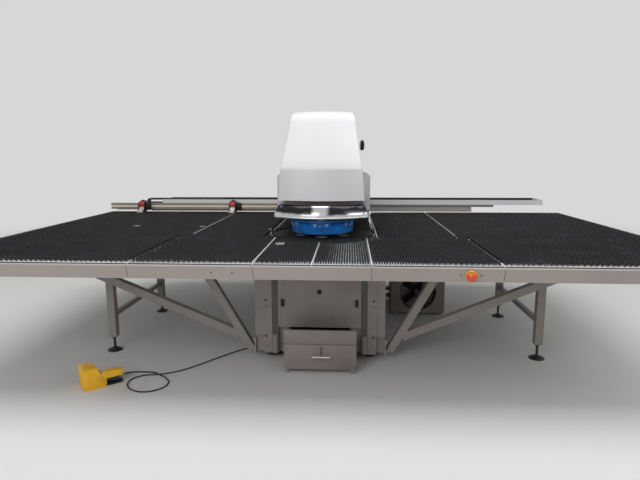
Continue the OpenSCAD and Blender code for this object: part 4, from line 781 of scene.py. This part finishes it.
# The black strip at the lip strip's front edge is painted shade. It stands for the dark gap there.
lip, shade_strip = bmesh.new(), bmesh.new()
for side in (-1, 1):
    for x0, x1 in ((0, SEAM_CENTRE), (SEAM_CENTRE, SEAM_OUTER), (SEAM_OUTER, REACH + 0.006)):
        for build, near, far, top in ((lip, LIP_IN + 0.012, 0.150, 0.002),
                                      (shade_strip, LIP_IN + 0.001, LIP_IN + 0.0115, 0.004)):
            add_box(build, (side * (x0 + 0.006), depth(near), BOARD_TOP + FIT),
                    (side * (x1 - 0.006), depth(far), RIM + top), SOFT)
make_piece("lip_strips", lip, "machine", zinc, "zinc_sheet")
make_piece("lip_shade_strip", shade_strip, "machine", black_plastic, "black_plastic")
print("joint strips reach", round(REACH, 3), "m to each side")

# %% [markdown]
# ## The nose hood
# The hood is a sheet-metal shell. Seen from the front it narrows upwards, its face is bowed like a barrel
# stave and its top is rounded over. It is drawn as a stack of level rings, each one a circle of points that is
# moved onto a bowed outline with round corners. Bridging the rings gives the skin, and a Solidify modifier
# turns the skin inwards into 3 mm sheet.

# %% Hood outline at one level
HOOD_FRONT, HOOD_BACK = depth(0.955), depth(2.050)
HOOD_Z, FOLD_Z = 1.240, 1.490
HOOD_BOW, CORNER, SHEET = 0.060, 0.022, 0.003
STEP_Y, STEP_Z = depth(1.385), FOLD_Z - 0.015
ARM_TOP, ARM_HALF = 1.556, 0.304


def hood_outline(half_width, front, back):
    """Points round one level: a bowed front, round corners, straight sides and back."""
    span, bottom = half_width - CORNER, front + HOOD_BOW + CORNER
    bowed = [(span * t / 14, front + HOOD_BOW * (t / 14) ** 2) for t in range(-14, 15)]
    corner = [(span + CORNER * math.cos(math.radians(a)), bottom + CORNER * math.sin(math.radians(a)))
              for a in range(-60, 1, 12)]
    side = [(half_width, bottom + (back - bottom) * t / 10) for t in range(1, 11)]
    rear = [(half_width * (1 - t / 4), back) for t in range(1, 4)]
    right = corner + side + rear
    return bowed + right + [(0, back)] + [(-x, y) for x, y in reversed(right)]


# Each level has its height, its half width, and how far the front and the back step in.
levels = [(HOOD_Z, 0.345, 0.0, 0.0), (HOOD_Z + 0.13, 0.3352, 0.0098, 0.0),
          (FOLD_Z - 0.004, 0.3264, 0.0196, 0.0), (FOLD_Z + 0.004, 0.3252, 0.0228, 0.0),
          (1.600, 0.310, 0.086, 0.0), (1.700, 0.296, 0.1455, 0.0), (1.800, 0.281, 0.205, 0.0),
          (1.862, 0.2745, 0.2395, 0.125), (1.900, 0.268, 0.262, 0.27),
          (1.925, 0.258, 0.285, 0.335), (1.941, 0.244, 0.312, 0.390), (1.9495, 0.217, 0.350, 0.450)]
build = bmesh.new()
rings = []
for z, half_width, front_in, back_in in levels:
    points = hood_outline(half_width, HOOD_FRONT + front_in, HOOD_BACK - back_in)
    ring = bmesh.ops.create_circle(build, cap_ends=False, segments=len(points), radius=1.0)["verts"]
    for vert, (x, y) in zip(ring, points):
        vert.co = (x, y, z)
    rings.append(edges_of(ring))
bridge(build, rings)
bmesh.ops.edgeloop_fill(build, edges=rings[-1])
print("hood skin has", len(build.faces), "faces")

# %% Open the hood's back and underside, and give the skin its thickness
for point, normal in (((0, STEP_Y, 0), (0, 1, 0)), ((0, 0, STEP_Z), (0, 0, 1)), ((0, 0, ARM_TOP), (0, 0, 1)),
                      ((ARM_HALF, 0, 0), (1, 0, 0)), ((-ARM_HALF, 0, 0), (1, 0, 0))):
    bmesh.ops.bisect_plane(build, geom=build.verts[:] + build.edges[:] + build.faces[:], dist=0.00001,
                           plane_co=point, plane_no=normal)


def is_open(face):
    """Whether a face lies where the upper arm passes through the hood."""
    centre = face.calc_center_median()
    low_part = centre.y > STEP_Y and centre.z < STEP_Z
    arm_slot = centre.y > HOOD_BACK - 0.001 and centre.z < ARM_TOP and abs(centre.x) < ARM_HALF
    return low_part or arm_slot


bmesh.ops.delete(build, geom=[face for face in build.faces if is_open(face)], context="FACES")
hood = make_piece("hood_shell", build, "hood", hood_white, "hood_white", "nose_hood", sharp_degrees=40)
thicken(hood, SHEET)
print("hood shell has", len(hood.data.polygons), "faces")

# %% Boss of the knob, hinge lugs and the star knob
KNOB_X, KNOB_Y, KNOB_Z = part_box("hood_knob")[1].x - 0.024, depth(1.350), FOLD_Z + 0.186
LUG_IN, HINGE_Y, HINGE_Z = 0.141, HOOD_BACK + 0.020, 1.600
LOBE_HEIGHT, LOBE_SCALE = 0.09, 0.92
build = bmesh.new()
add_turned(build, [(0, -0.030), (0.052, -0.030), (0.052, -0.004), (0.048, 0), (0, 0)],
           (KNOB_X - 0.0003, KNOB_Y, KNOB_Z), (1, 0, 0))
for side in (-1, 1):
    add_box(build, (side * (LUG_IN - 0.021), HOOD_BACK - 0.002, HINGE_Z - 0.030),
            (side * (LUG_IN - 0.001), HINGE_Y + 0.014, HINGE_Z + 0.014), 0.003)
make_piece("hood_fittings", build, "hood", hood_white, "hood_white", "nose_hood")

build = bmesh.new()
knob_profile = [(0, 0), (0.030, 0), (0.040, 0.003), (0.0435, 0.009), (0.0435, 0.021), (0.038, 0.029),
                (0.024, 0.0335), (0, 0.0345)]
knob_centre = Vector((KNOB_X + 0.0003, KNOB_Y, KNOB_Z))
add_turned(build, knob_profile, knob_centre, (1, 0, 0), steps=60)
for vert in build.verts:
    out = vert.co - knob_centre
    lobe = 1 + LOBE_HEIGHT * math.cos(5 * math.atan2(out.z, out.y)) * min(1, math.hypot(out.y, out.z) / 0.03)
    vert.co.y, vert.co.z = knob_centre.y + out.y * lobe * LOBE_SCALE, knob_centre.z + out.z * lobe * LOBE_SCALE
add_rod(build, (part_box("hood_knob")[0].x, KNOB_Y, KNOB_Z), (KNOB_X + 0.002, KNOB_Y, KNOB_Z), 0.008)
make_piece("star_knob", build, "hood_knob", black_plastic, "black_plastic", "hood_knob", sharp_degrees=50)
print("hood fittings ready, the knob has five lobes")

# %% [markdown]
# ## The skirt round the turret
# Under the hood a polished steel skirt keeps fingers away from the turret. It follows the hood's bowed front
# and runs straight back along both sides. Each level of its profile is an open line of points. Bridging the
# lines gives the sheet, and Solidify its thickness. A thin tube along the lowest line is the rolled rim.

# %% Skirt
SKIRT_FRONT, SKIRT_HALF, SKIRT_BOW, SKIRT_CORNER = depth(0.8755), 0.377, 0.112, 0.045
SKIRT_Z, SKIRT_TOP, SKIRT_BACK = 1.112, HOOD_Z - 0.035, depth(1.385)
tall = SKIRT_TOP - SKIRT_Z
SKIRT_LEVELS = [(0.0, 0.004), (0.0012, 0.022), (0.004, 0.038), (0.016, 0.064), (0.027, tall - 0.005),
                (0.033, tall - 0.0005), (0.075, tall)]


def skirt_line(inset):
    """The skirt's line in plan: bowed in front, round at the corners, straight along the sides."""
    half, front = SKIRT_HALF - inset, SKIRT_FRONT + inset
    span, bend = half - SKIRT_CORNER, SKIRT_CORNER
    bowed = [(span * t / 12, front + SKIRT_BOW * (t / 12) ** 2) for t in range(0, 13)]
    middle = front + SKIRT_BOW + bend
    corner = [(span + bend * math.sin(math.radians(a)), middle - bend * math.cos(math.radians(a)))
              for a in range(18, 91, 12)]
    side = [(half, middle + (SKIRT_BACK - middle) * t / 6) for t in range(1, 7)]
    right = bowed + corner + side
    return [(-x, y) for x, y in reversed(right[1:])] + right


build = bmesh.new()
rows = []
for inset, up in SKIRT_LEVELS:
    row = [build.verts.new((x, y, SKIRT_Z + up)) for x, y in skirt_line(inset)]
    rows.append([build.edges.new(pair) for pair in zip(row, row[1:])])
bridge(build, rows)
skirt = make_piece("skirt_shell", build, "machine", skirt_steel, "polished_steel", "hood_skirt")
thicken(skirt, 0.0025)
print("skirt has", len(skirt.data.polygons), "faces")

# %% Rolled rim of the skirt
ROLL_R, ROLL_IN = 0.0085, 0.006
build = bmesh.new()
rim_line = [Vector((x, y, SKIRT_Z)) for x, y in skirt_line(ROLL_IN)]
last = len(rim_line) - 1
hoops = []
for i, place in enumerate(rim_line):
    ahead = (rim_line[min(i + 1, last)] - rim_line[max(i - 1, 0)]).normalized()
    hoop = bmesh.ops.create_circle(build, cap_ends=i in (0, last), segments=12, radius=ROLL_R,
                                   matrix=facing(place, ahead))
    hoops.append(edges_of(hoop["verts"]))
bridge(build, hoops)
make_piece("skirt_rim", build, "machine", rim_steel, "polished_steel", "hood_skirt")
print("rim runs", len(rim_line), "points")

# %% [markdown]
# ## Punches in the turret
# Six punch holders stand in the turret, each with a stepped head that the ram strikes. In front of each one a
# small block with a screw holds the key that keeps the punch from turning. The turret turns, so all ride on it.

# %% Punch holders and their key blocks
TURRET_Z, STATION_R, PAD_R, SCREW_UP = 0.970, 0.190, 0.2541, 0.057
holder = [(0, 0.003), (0.034, 0.003), (0.036, 0.005), (0.036, 0.115), (0.040, 0.115), (0.040, 0.121),
          (0.038, 0.123), (0.022, 0.123), (0.020, 0.1215), (0, 0.1215)]
heads, blocks, screws = bmesh.new(), bmesh.new(), bmesh.new()
for station in range(6):
    turn = Matrix.Rotation(math.radians(90 + 60 * station), 4, "Z")
    around = Matrix.Translation((0, TURRET_Y, TURRET_Z)) @ turn
    add_turned(heads, holder, around @ Vector((STATION_R, 0, 0)), (0, 0, 1), steps=40)
    add_box(blocks, (PAD_R, -0.014, 0.040), (PAD_R + 0.012, 0.014, 0.074), 0.002, around)
    add_rod(screws, around @ Vector((PAD_R + 0.011, 0, SCREW_UP)),
            around @ Vector((PAD_R + 0.0155, 0, SCREW_UP)), 0.0065, tip=0.0058)
make_piece("punch_heads", heads, "turret", machined, "machined_steel", "punch_holders")
make_piece("key_blocks", blocks, "turret", turret_blue, "turret_blue", "punch_holders")
make_piece("key_screws", screws, "turret", blackened, "blackened_steel", "punch_holders")
print("six stations dressed")

# %% [markdown]
# ## Clamps and carriage
# Each clamp is a red casting between two black side plates. Its lower jaw is a thin toothed plate that slides
# under the sheet, and a black block with the air valve sits beside it. A prism pushed out of the side outline
# gives the casting, and a box taken away from it leaves the window where the upper jaw swings.
# All the numbers count from the clamp's middle and the carriage's front face, and heights from the floor.

# %% Clamp shapes
CARRIAGE_Y, CARRIAGE_Z, CARRIAGE_TOP = depth(2.723), 0.989, 1.056
JAW_Z, JAW_TOP, JAW_TIP, JAW_ROOT = 0.957, 0.962, -0.116, -0.108
CLAMP_HALF, PLATE_T, CLEAR = 0.040, 0.0125, 0.0003
HOOK_Z, CAP_Z = CARRIAGE_Z - 0.006, CARRIAGE_TOP + 0.026
casting = [(-0.078, JAW_TOP), (-0.006, JAW_TOP), (-0.006, HOOK_Z), (-CLEAR, HOOK_Z),
           (-CLEAR, CARRIAGE_TOP + CLEAR), (0.040, CARRIAGE_TOP + CLEAR), (0.040, CAP_Z), (-0.040, CAP_Z),
           (-0.062, CARRIAGE_TOP + 0.010), (-0.070, JAW_Z + 0.040)]
side_plate = [(-0.090, JAW_TOP), (-0.006, JAW_TOP), (-0.006, HOOK_Z), (-CLEAR, HOOK_Z),
              (-CLEAR, CARRIAGE_TOP + 0.018), (-0.034, CARRIAGE_TOP + 0.018), (-0.058, CARRIAGE_TOP + 0.002),
              (-0.072, JAW_Z + 0.034), (-0.088, JAW_Z + 0.020)]
cap_knob = [(0, 0), (0.006, 0), (0.006, 0.004), (0.0135, 0.005), (0.014, 0.007), (0.014, 0.013), (0.012, 0.016),
            (0, 0.016)]


def dress_clamp(side, x):
    """The casting, side plates, valve block, knob and toothed lower jaw of one clamp."""
    body = f"clamp_{side}"
    here = Matrix.Translation((x, CARRIAGE_Y, 0))
    sideways = here @ Matrix.Rotation(math.radians(90), 4, "Z")
    inner = CLAMP_HALF - PLATE_T

    build, window = bmesh.new(), bmesh.new()
    add_prism(build, casting, -inner, inner, sideways)
    red = make_piece(f"casting_{side}", build, body, clamp_red, "clamp_red", body)
    add_box(window, (-0.026, -0.100, JAW_Z + 0.0049), (0.026, -0.012, 1.026), place=here)
    cut_away(red, window)
    round_edges(red, 0.0015)

    build = bmesh.new()
    for low in (-CLAMP_HALF, inner):
        add_prism(build, side_plate, -(low + PLATE_T), -low, sideways)
    add_box(build, (CLAMP_HALF, -0.046, CARRIAGE_Z - 0.008), (CLAMP_HALF + 0.052, -CLEAR, CARRIAGE_TOP + 0.008),
            0.003, here)
    add_turned(build, cap_knob, here @ Vector((0.008, -0.020, CAP_Z - CLEAR)), (0, 0, 1), 32)
    add_box(build, (-0.027, -0.041, CAP_Z - 0.0005), (0.027, 0.038, CAP_Z + 0.005), 0.002, here)
    add_rod(build, here @ Vector((0.066, -0.040, CARRIAGE_TOP + 0.007)),
            here @ Vector((0.066, -0.040, CARRIAGE_TOP + 0.024)), 0.005)
    make_piece(f"side_plates_{side}", build, body, black_plastic, "black_plastic", body)

    build = bmesh.new()
    add_box(build, (-CLAMP_HALF, JAW_ROOT, JAW_Z), (CLAMP_HALF, -0.006, JAW_TOP), 0.0006, here)
    for tooth in range(8):
        left = -CLAMP_HALF + 0.010 * tooth + 0.001
        add_box(build, (left, JAW_TIP, JAW_Z), (left + 0.008, JAW_ROOT + 0.0005, JAW_TOP), 0.0008, here)
    add_rod(build, here @ Vector((-0.026, -0.034, 1.010)), here @ Vector((0.026, -0.034, 1.010)), 0.006)
    make_piece(f"lower_jaw_{side}", build, body, machined, "machined_steel", body)


dress_clamp("left", -2.152)
dress_clamp("right", -1.101)
print("two clamps dressed")

# %% The carriage's painted highlight strip, and dark strips inside the cable tray
# A cream strip along the carriage's front face is a painted highlight, the shine of its polished rail.
build = bmesh.new()
slide_low, slide_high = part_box("x_carriage")
add_box(build, (slide_low.x + 0.002, CARRIAGE_Y + 0.0012, CARRIAGE_Z + 0.0236),
        (slide_high.x - 0.002, CARRIAGE_Y + 0.0079, CARRIAGE_Z + 0.0434), 0.0008)
make_piece("highlight_strip", build, "carriage", cream_highlight, "aluminium")
# Black strips cover the inside of the cable tray's back wall and floor, so a dark line runs along the tray's
# top.
build = bmesh.new()
tray_low, tray_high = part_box("chain_tray")
left, right = tray_low.x + 0.001, tray_high.x - 0.006
add_box(build, (left, tray_high.y - 0.0052, tray_low.z + 0.0032),
        (right, tray_high.y - 0.0030, tray_high.z - 0.001), 0.0005)
add_box(build, (left, tray_low.y + 0.125, tray_low.z + 0.0030),
        (right, tray_high.y - 0.0055, tray_low.z + 0.0046), 0.0005)
make_piece("tray_dark_inside", build, "bridge", black_plastic, "black_plastic")
print("highlight strip is", round(slide_high.x - slide_low.x - 0.004, 3), "m long")

# %% [markdown]
# ## The scrap drawer
# The punched slugs fall down the frame into a drawer. Its front is made of two folded panels with a dark gap
# between them, a bar handle, and a narrow slot over the handle. The bin behind it is an open sheet box.
# Depths count from the drawer's front face.

# %% Scrap drawer and its handle
DRAWER_L, DRAWER_R, DRAWER_Z, DRAWER_TOP = -0.249, 0.283, 0.030, 0.330
BIN_HALF, BIN_START, BIN_END, BIN_TOP = 0.235, 0.0205, 1.130, 0.264
HANDLE_X, HANDLE_Z, HANDLE_HALF = 0.0255, 0.139, 0.064
at_drawer = Matrix.Translation((0, depth(0.550), 0))


def on_handle(x, y=-0.034):
    """A place on the handle, this far from its middle."""
    return at_drawer @ Vector((HANDLE_X + x, y, HANDLE_Z))


build, slot = bmesh.new(), bmesh.new()
for low, high in ((DRAWER_Z, 0.2215), (0.2245, DRAWER_TOP)):
    add_box(build, (DRAWER_L, 0, low), (DRAWER_R, 0.022, high), 0.002, at_drawer)
drawer_front = make_piece("drawer_front", build, "drawer", base_paint, "frame_paint", "scrap_drawer")
add_box(slot, (HANDLE_X - 0.006, -0.002, 0.150), (HANDLE_X + 0.006, 0.015, 0.204), place=at_drawer)
cut_away(drawer_front, slot)

build, hollow = bmesh.new(), bmesh.new()
add_box(build, (-BIN_HALF, BIN_START, DRAWER_Z), (BIN_HALF, BIN_END, BIN_TOP), 0.0015, at_drawer)
drawer_bin = make_piece("drawer_bin", build, "drawer", base_paint, "frame_paint", "scrap_drawer")
add_box(hollow, (-BIN_HALF + SHEET, BIN_START + SHEET, DRAWER_Z + SHEET),
        (BIN_HALF - SHEET, BIN_END - SHEET, DRAWER_TOP - 0.030), place=at_drawer)
cut_away(drawer_bin, hollow)

build = bmesh.new()
for side in (-1, 1):
    add_box(build, (side * 0.234, 0.300, BIN_TOP - 0.002), (side * 0.257, BIN_END, BIN_TOP), place=at_drawer)
for low in (DRAWER_L + 0.008, DRAWER_R - 0.036):
    add_box(build, (low, 0.002, 0.003), (low + 0.028, 0.026, DRAWER_Z + 0.001), 0.003, at_drawer)
make_piece("drawer_fittings", build, "drawer", base_paint, "frame_paint", "scrap_drawer")

build = bmesh.new()
add_rod(build, on_handle(-HANDLE_HALF), on_handle(HANDLE_HALF), 0.009)
for side in (-1, 1):
    add_rod(build, on_handle(side * HANDLE_HALF), on_handle(side * (HANDLE_HALF + 0.004)), 0.009, tip=0.005)
add_rod(build, on_handle(0), on_handle(0, 0.001), 0.006)
make_piece("drawer_bar", build, "drawer", machined, "machined_steel", "drawer_handle")
print("drawer front is", round(DRAWER_R - DRAWER_L, 3), "m wide")

# %% Dark plugs in the aprons' screw holes
LEAN_IN, LEAN_DOWN, PLUG_DOWN = 0.030, 0.082, 0.042
lean = math.atan2(LEAN_IN, LEAN_DOWN)
outwards = Vector((0, -math.cos(lean), -math.sin(lean)))
stop_low, stop_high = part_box("stop_button")
stop_middle = (stop_low.x + stop_high.x) / 2
build = bmesh.new()
for x in (-0.620, -0.490, stop_middle - 0.062, stop_middle + 0.062):
    add_turned(build, [(0, -0.001), (0.0052, -0.001), (0.0052, 0.0016), (0.0036, 0.0024), (0, 0.0024)],
               (x, depth(LEAN_IN * PLUG_DOWN / LEAN_DOWN), RIM + 0.005 - 0.050), outwards, steps=20)
make_piece("apron_plugs", build, "machine", black_plastic, "black_plastic")
print("apron plugs ready")

# %% [markdown]
# ## Guard of the cooler fan, and bolts
# A finger guard is a set of wire rings on four spokes. Each ring is a small circle spun round the fan's axis.

# %% Fan guard and foot-plate bolts
FAN, WIRE_R = Vector((0.915, depth(1.9975), 0.232)), 0.0017
build = bmesh.new()
for ring in (0.036, 0.064, 0.092, 0.120, 0.148, 0.178):
    section = [(ring + WIRE_R * math.cos(math.radians(a)), WIRE_R * math.sin(math.radians(a)))
               for a in range(0, 360, 45)]
    add_turned(build, section + section[:1], FAN, (0, 1, 0), steps=56)
for a in (45, 135, 225, 315):
    out = Vector((math.cos(math.radians(a)), 0, math.sin(math.radians(a))))
    add_rod(build, FAN + out * 0.034, FAN + out * 0.184, 0.0022, sides=10)
hub = [(0, -0.002), (0.036, -0.002), (0.037, -0.001), (0.037, 0.001), (0, 0.001)]
add_turned(build, hub, FAN, (0, 1, 0), steps=40)
make_piece("fan_guard", build, "machine", blackened, "blackened_steel")
build = bmesh.new()
PLATE_X, BOLT_Y = 0.5165, depth(0.820)
for side in (-1, 1):
    for z in (0.075, 0.150):
        for end, radius, sides in ((PLATE_X + 0.0070, 0.0115, 6), (PLATE_X + 0.0017, 0.015, 24)):
            add_rod(build, (side * PLATE_X, BOLT_Y, z), (side * end, BOLT_Y, z), radius, sides=sides)
make_piece("foot_plate_bolts", build, "machine", zinc, "zinc_sheet")
print("fan guard and bolts ready")

# %% [markdown]
# ## The foot pedal
# The yellow guard is thick sheet bent round the treadle. It is pushed out of its side outline, hollowed by a
# second outline and pierced at the top, and then every edge is rounded as powder coating rounds it.

# %% Pedal guard
WALL, ARM_Z, ARM_LOW, ARM_HIGH = 0.004, 0.057, 0.103, 0.111
arm_start, arm_end = GUARD_L - 0.021, PEDAL_L - 0.008
guard_outline = [(0, 0.004), (0.004, 0), (GUARD_L, 0), (GUARD_L, ARM_Z), (GUARD_L - 0.030, 0.085),
                 (GUARD_L - 0.054, PEDAL_H - 0.003), (GUARD_L - 0.059, PEDAL_H), (0.008, PEDAL_H),
                 (0.002, PEDAL_H - 0.003), (0, PEDAL_H - 0.009)]
hollow_outline = [(WALL, 0.022), (GUARD_L + 0.010, 0.022), (GUARD_L + 0.010, PEDAL_H - WALL),
                  (0.012, PEDAL_H - WALL), (WALL, PEDAL_H - 0.012)]
build, hollow, hole = bmesh.new(), bmesh.new(), bmesh.new()
add_prism(build, guard_outline, 0, PEDAL_W, pedal_place)
guard = make_piece("pedal_hood", build, "machine", pedal_yellow, "pedal_yellow", "pedal_guard")
add_prism(hollow, hollow_outline, WALL, PEDAL_W - WALL, pedal_place)
cut_away(guard, hollow)
add_rod(hole, pedal_place @ Vector((0.052, 0.100, 0.120)), pedal_place @ Vector((0.052, 0.100, 0.160)), 0.005)
cut_away(guard, hole)
round_edges(guard, 0.0012)
build = bmesh.new()
add_prism(build, [(GUARD_L - 0.040, ARM_Z), (PEDAL_L, ARM_Z), (arm_end, ARM_LOW), (arm_start, ARM_HIGH),
                  (GUARD_L - 0.033, 0.085)], 0, WALL, pedal_place)
add_prism(build, [(arm_start, ARM_HIGH - WALL), (arm_end, ARM_LOW - WALL), (arm_end, ARM_LOW),
                  (arm_start, ARM_HIGH)], 0, 0.045, pedal_place)
arm = make_piece("pedal_arm", build, "machine", pedal_yellow, "pedal_yellow", "pedal_guard")
round_edges(arm, 0.001)
print("guard has", len(guard.data.polygons) + len(arm.data.polygons), "faces")

# %% Pedal base, treadle brackets and the cable's strain reliefs
PIVOT_X, SOLE_T = PEDAL_L - 0.020, 0.012
build = bmesh.new()
add_box(build, (GUARD_L - 0.001, 0.006, 0), (BASE_END, PEDAL_W - 0.006, SOLE_T), 0.0015, pedal_place)
for low in (0.008, PEDAL_W - 0.014):
    add_box(build, (PIVOT_X - 0.012, low, 0.011), (PIVOT_X + 0.010, low + 0.006, 0.034), 0.001, pedal_place)
add_box(build, (BASE_END - 0.030, CABLE_SIDE - 0.009, 0.011),
        (BASE_END, CABLE_SIDE + 0.009, CABLE_UP + 0.004), 0.001, pedal_place)
sleeve = [(0, 0), (0.009, 0), (0.009, 0.006), (0.0082, 0.007), (0.0082, 0.010), (0.0088, 0.011),
          (0.0088, 0.0125), (0.0062, 0.0133), (0, 0.0133)]
along_pedal = pedal_place.to_3x3() @ Vector((1, 0, 0))
add_turned(build, sleeve, pedal_place @ Vector((BASE_END, CABLE_SIDE, CABLE_UP)), along_pedal, steps=24)
make_piece("pedal_base", build, "machine", black_plastic, "black_plastic", "pedal_guard")
print("pedal base ready")

# %% [markdown]
# ## The room: a pale floor, a pale wall of light and soft lamps
# The floor and the sky behind it are plain, so that nothing competes with the machine. Far from the machine
# the floor melts into the sky, so no horizon shows. The sky has two strengths. The camera, and anything that
# mirrors or passes light, meets the paler one; what lights the surfaces is darker, so that pale paint doesn't
# clip. Three broad area lamps give the soft light of a workshop's ceiling.

# %% Floor
WHITE = (1, 1, 1, 1)
SKY_SEEN, SKY_LIGHT = 0.68, 0.36
floor_mesh = bpy.data.meshes.new("floor")
floor_build = bmesh.new()
bmesh.ops.create_grid(floor_build, x_segments=1, y_segments=1, size=40)
floor_build.to_mesh(floor_mesh)
floor_build.free()
floor = bpy.data.objects.new("floor", floor_mesh)
bpy.context.scene.collection.objects.link(floor)
floor_mat = bpy.data.materials.new("Pale floor")
floor_mat.use_nodes = True
ground = floor_mat.node_tree
ground.nodes["Principled BSDF"].inputs["Base Color"].default_value = (0.66, 0.66, 0.655, 1)
ground.nodes["Principled BSDF"].inputs["Roughness"].default_value = 0.75
add(ground, "where", "TexCoord")
add(ground, "far", "VectorMath", operation="LENGTH")
add(ground, "fade", "MapRange", interpolation_type="SMOOTHSTEP", From_Min=4.0, From_Max=10.0)
add(ground, "eye", "LightPath")
add(ground, "faded", "Math", operation="MULTIPLY")
add(ground, "glow", "Emission", Color=WHITE, Strength=SKY_SEEN)
add(ground, "melt", "MixShader")
wire(ground, """
    where.Object > far.0
    far.Value > fade.Value
    fade.Result > faded.0
    eye.Is Camera Ray > faded.1
    faded.0 > melt.0
    Principled BSDF.0 > melt.1
    glow.0 > melt.2
    melt.0 > Material Output.Surface
""")
floor_mesh.materials.append(floor_mat)
print("floor is", round(floor.dimensions.x), "m wide")

# %% Sky
world = bpy.data.worlds.new("soft room")
bpy.context.scene.world = world
world.use_nodes = True
sky = world.node_tree
sky.nodes.clear()
add(sky, "seen", "Background", Color=WHITE, Strength=SKY_SEEN)
add(sky, "lighting", "Background", Color=WHITE, Strength=SKY_LIGHT)
add(sky, "path", "LightPath")
add(sky, "eye or mirror", "Math", operation="MAXIMUM")
add(sky, "not diffuse", "Math", operation="MAXIMUM")
add(sky, "choose", "MixShader")
add(sky, "world", "OutputWorld")
wire(sky, """
    path.Is Camera Ray > eye or mirror.0
    path.Is Glossy Ray > eye or mirror.1
    eye or mirror.0 > not diffuse.0
    path.Is Transmission Ray > not diffuse.1
    not diffuse.0 > choose.0
    lighting.0 > choose.1
    seen.0 > choose.2
    choose.0 > world.0
""")
print("sky ready")

# %% Lamps
for name, place, target, width, height, watts in (
        ("ceiling", (0, 0.9, 7.5), (0, 1.4, 0), 9.0, 4.5, 430),
        ("front fill", (-2.5, -4.5, 3.2), (0, 1.0, 0.8), 3.5, 2.5, 100),
        ("side fill", (4.5, -1.0, 3.4), (0, 1.2, 0.9), 3.0, 2.5, 60)):
    data = bpy.data.lights.new(name, "AREA")
    data.shape = "RECTANGLE"
    data.size, data.size_y, data.energy = width, height, watts
    lamp = bpy.data.objects.new(name, data)
    start, end = (Vector((x, depth(y), z)) for x, y, z in (place, target))
    lamp.location = start
    lamp.rotation_euler = (end - start).to_track_quat("-Z", "Y").to_euler()
    bpy.context.scene.collection.objects.link(lamp)
bpy.context.scene.view_settings.view_transform = "Standard"
print("lamps ready")
